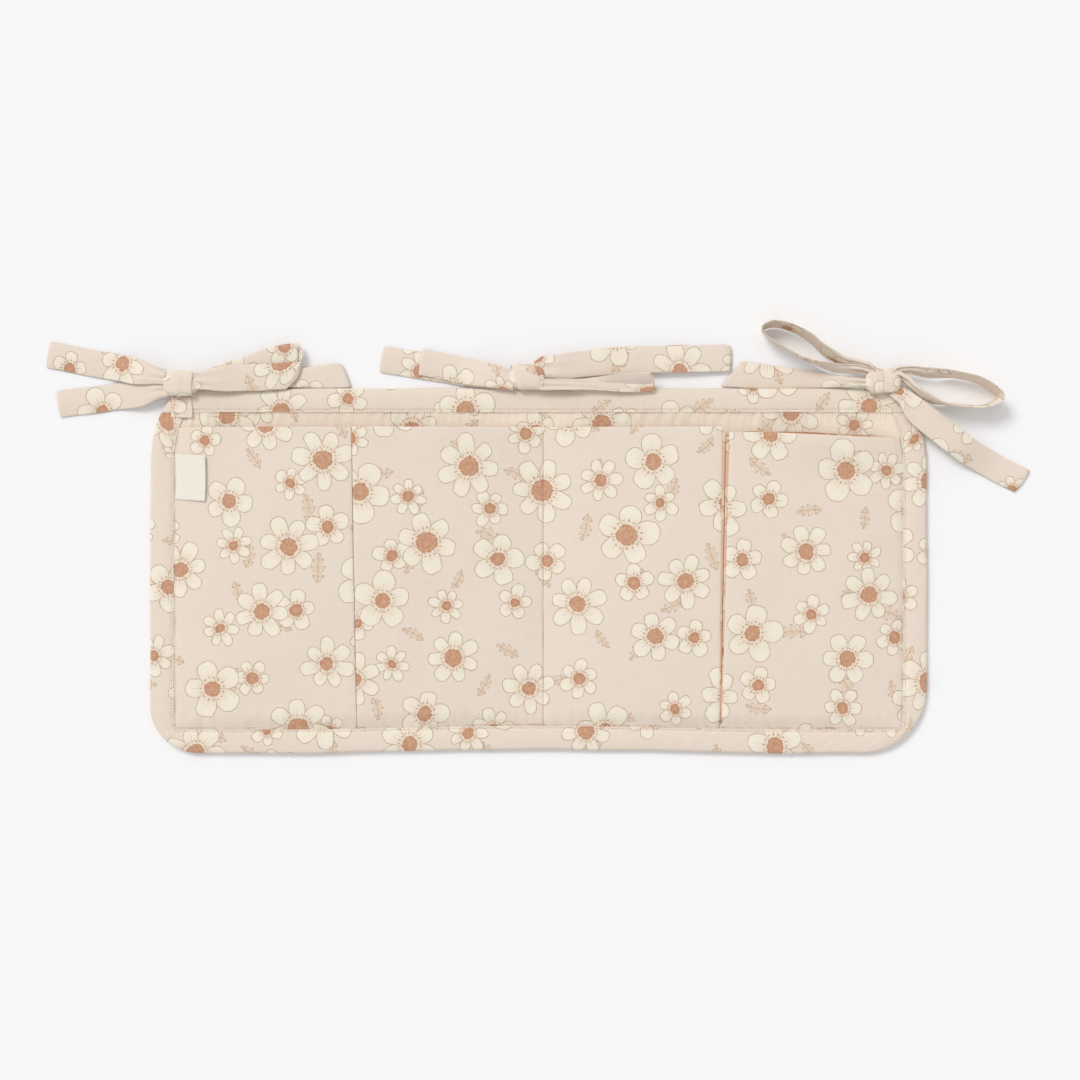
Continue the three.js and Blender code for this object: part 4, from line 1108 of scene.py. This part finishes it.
# Build
dress(front_cloth(), "panel", "front_cloth")
dress(back_cloth(), "panel", "back_lining")
dress(padding(), "panel", "wadding")
bindings()
dress(end_tab(), "panel", "header_end_tab")
for pocket_name in POCKETS:
    for piece, in_slot, node in (
        (pocket_front(pocket_name), "pocket", "pocket_front"),
        (pleat(pocket_name), "pleat", "pocket_pleat"),
        (mouth_hem_painted_shade(pocket_name), "pocket", "pocket_front"),
    ):
        dress(piece, None, f"{node}_{pocket_name}")
        lift_pocket(piece)
dress(label(), "label", "side_label")
make_straps()
for number, tie_name in enumerate(TIES):
    tie_root(tie_name)
    knot(tie_name, number * 2.1 + 0.7)


# Stitch lines
def edge_row(inset, top):
    """The part of the outline at an inset that lies below top."""
    line = outline(inset)
    below = line[:, 1] < top
    line = np.roll(line, -int(np.argmax(~below & np.roll(below, 1))), 0)
    return line[line[:, 1] < top]


def level(x, y, z):
    return np.stack(np.broadcast_arrays(x, y, z), -1)


stitches("stitches_edge", level(*edge_row(16.9, CUT_Y - 1.5).T, 5.84))
inner_row = edge_row(19.9, 106.0)
at_side = inner_row[:, 1] > -117.0
stitches("stitches_inner", level(*inner_row[~at_side].T, 5.72))
for pocket_name, turned in (("1", -1), ("4", 1)):
    side_row = inner_row[at_side & (inner_row[:, 0] * turned > 0)]
    stitches(f"stitches_pocket_{pocket_name}", level(*side_row.T, 5.78), pocket_name)
header_x = np.linspace(-276, 276, 230)
stitches("stitches_header_high", level(header_x, 124.7, 5.94))
stitches("stitches_header_low", level(header_x, 121.4, 5.42))
stitches("stitches_centre", level(SEAM_X, np.linspace(-119.6, 110.0, 90), 6.2), height=0.25)

scene.view_settings.view_transform = "Standard"

# Floor, world and lamp
floor_mesh = bpy.data.meshes.new("floor")
floor_corners = [(x * 4, y * 4, -0.0006) for x, y in ((-1, -1), (1, -1), (1, 1), (-1, 1))]
floor_mesh.from_pydata(floor_corners, [], [(0, 1, 2, 3)])
floor_material, _, floor_shader = principled("floor", 0.9, 0.0)
settle(floor_shader, Base_Color=rgb(246, 246, 247))
floor_mesh.materials.append(floor_material)
floor = bpy.data.objects.new("floor", floor_mesh)
scene.collection.objects.link(floor)

world = bpy.data.worlds.new("studio")
world.use_nodes = True
settle(world.node_tree.nodes["Background"], Color=(1, 1, 1, 1), Strength=0.68)
scene.world = world

lamp_data = bpy.data.lights.new("key", "SUN")
lamp_data.angle = math.radians(22)
lamp_data.energy = 1.42
lamp = bpy.data.objects.new("key", lamp_data)
lamp.rotation_euler = mathutils.Vector((0.55, -0.66, -1.0)).to_track_quat("-Z", "Y").to_euler()
scene.collection.objects.link(lamp)
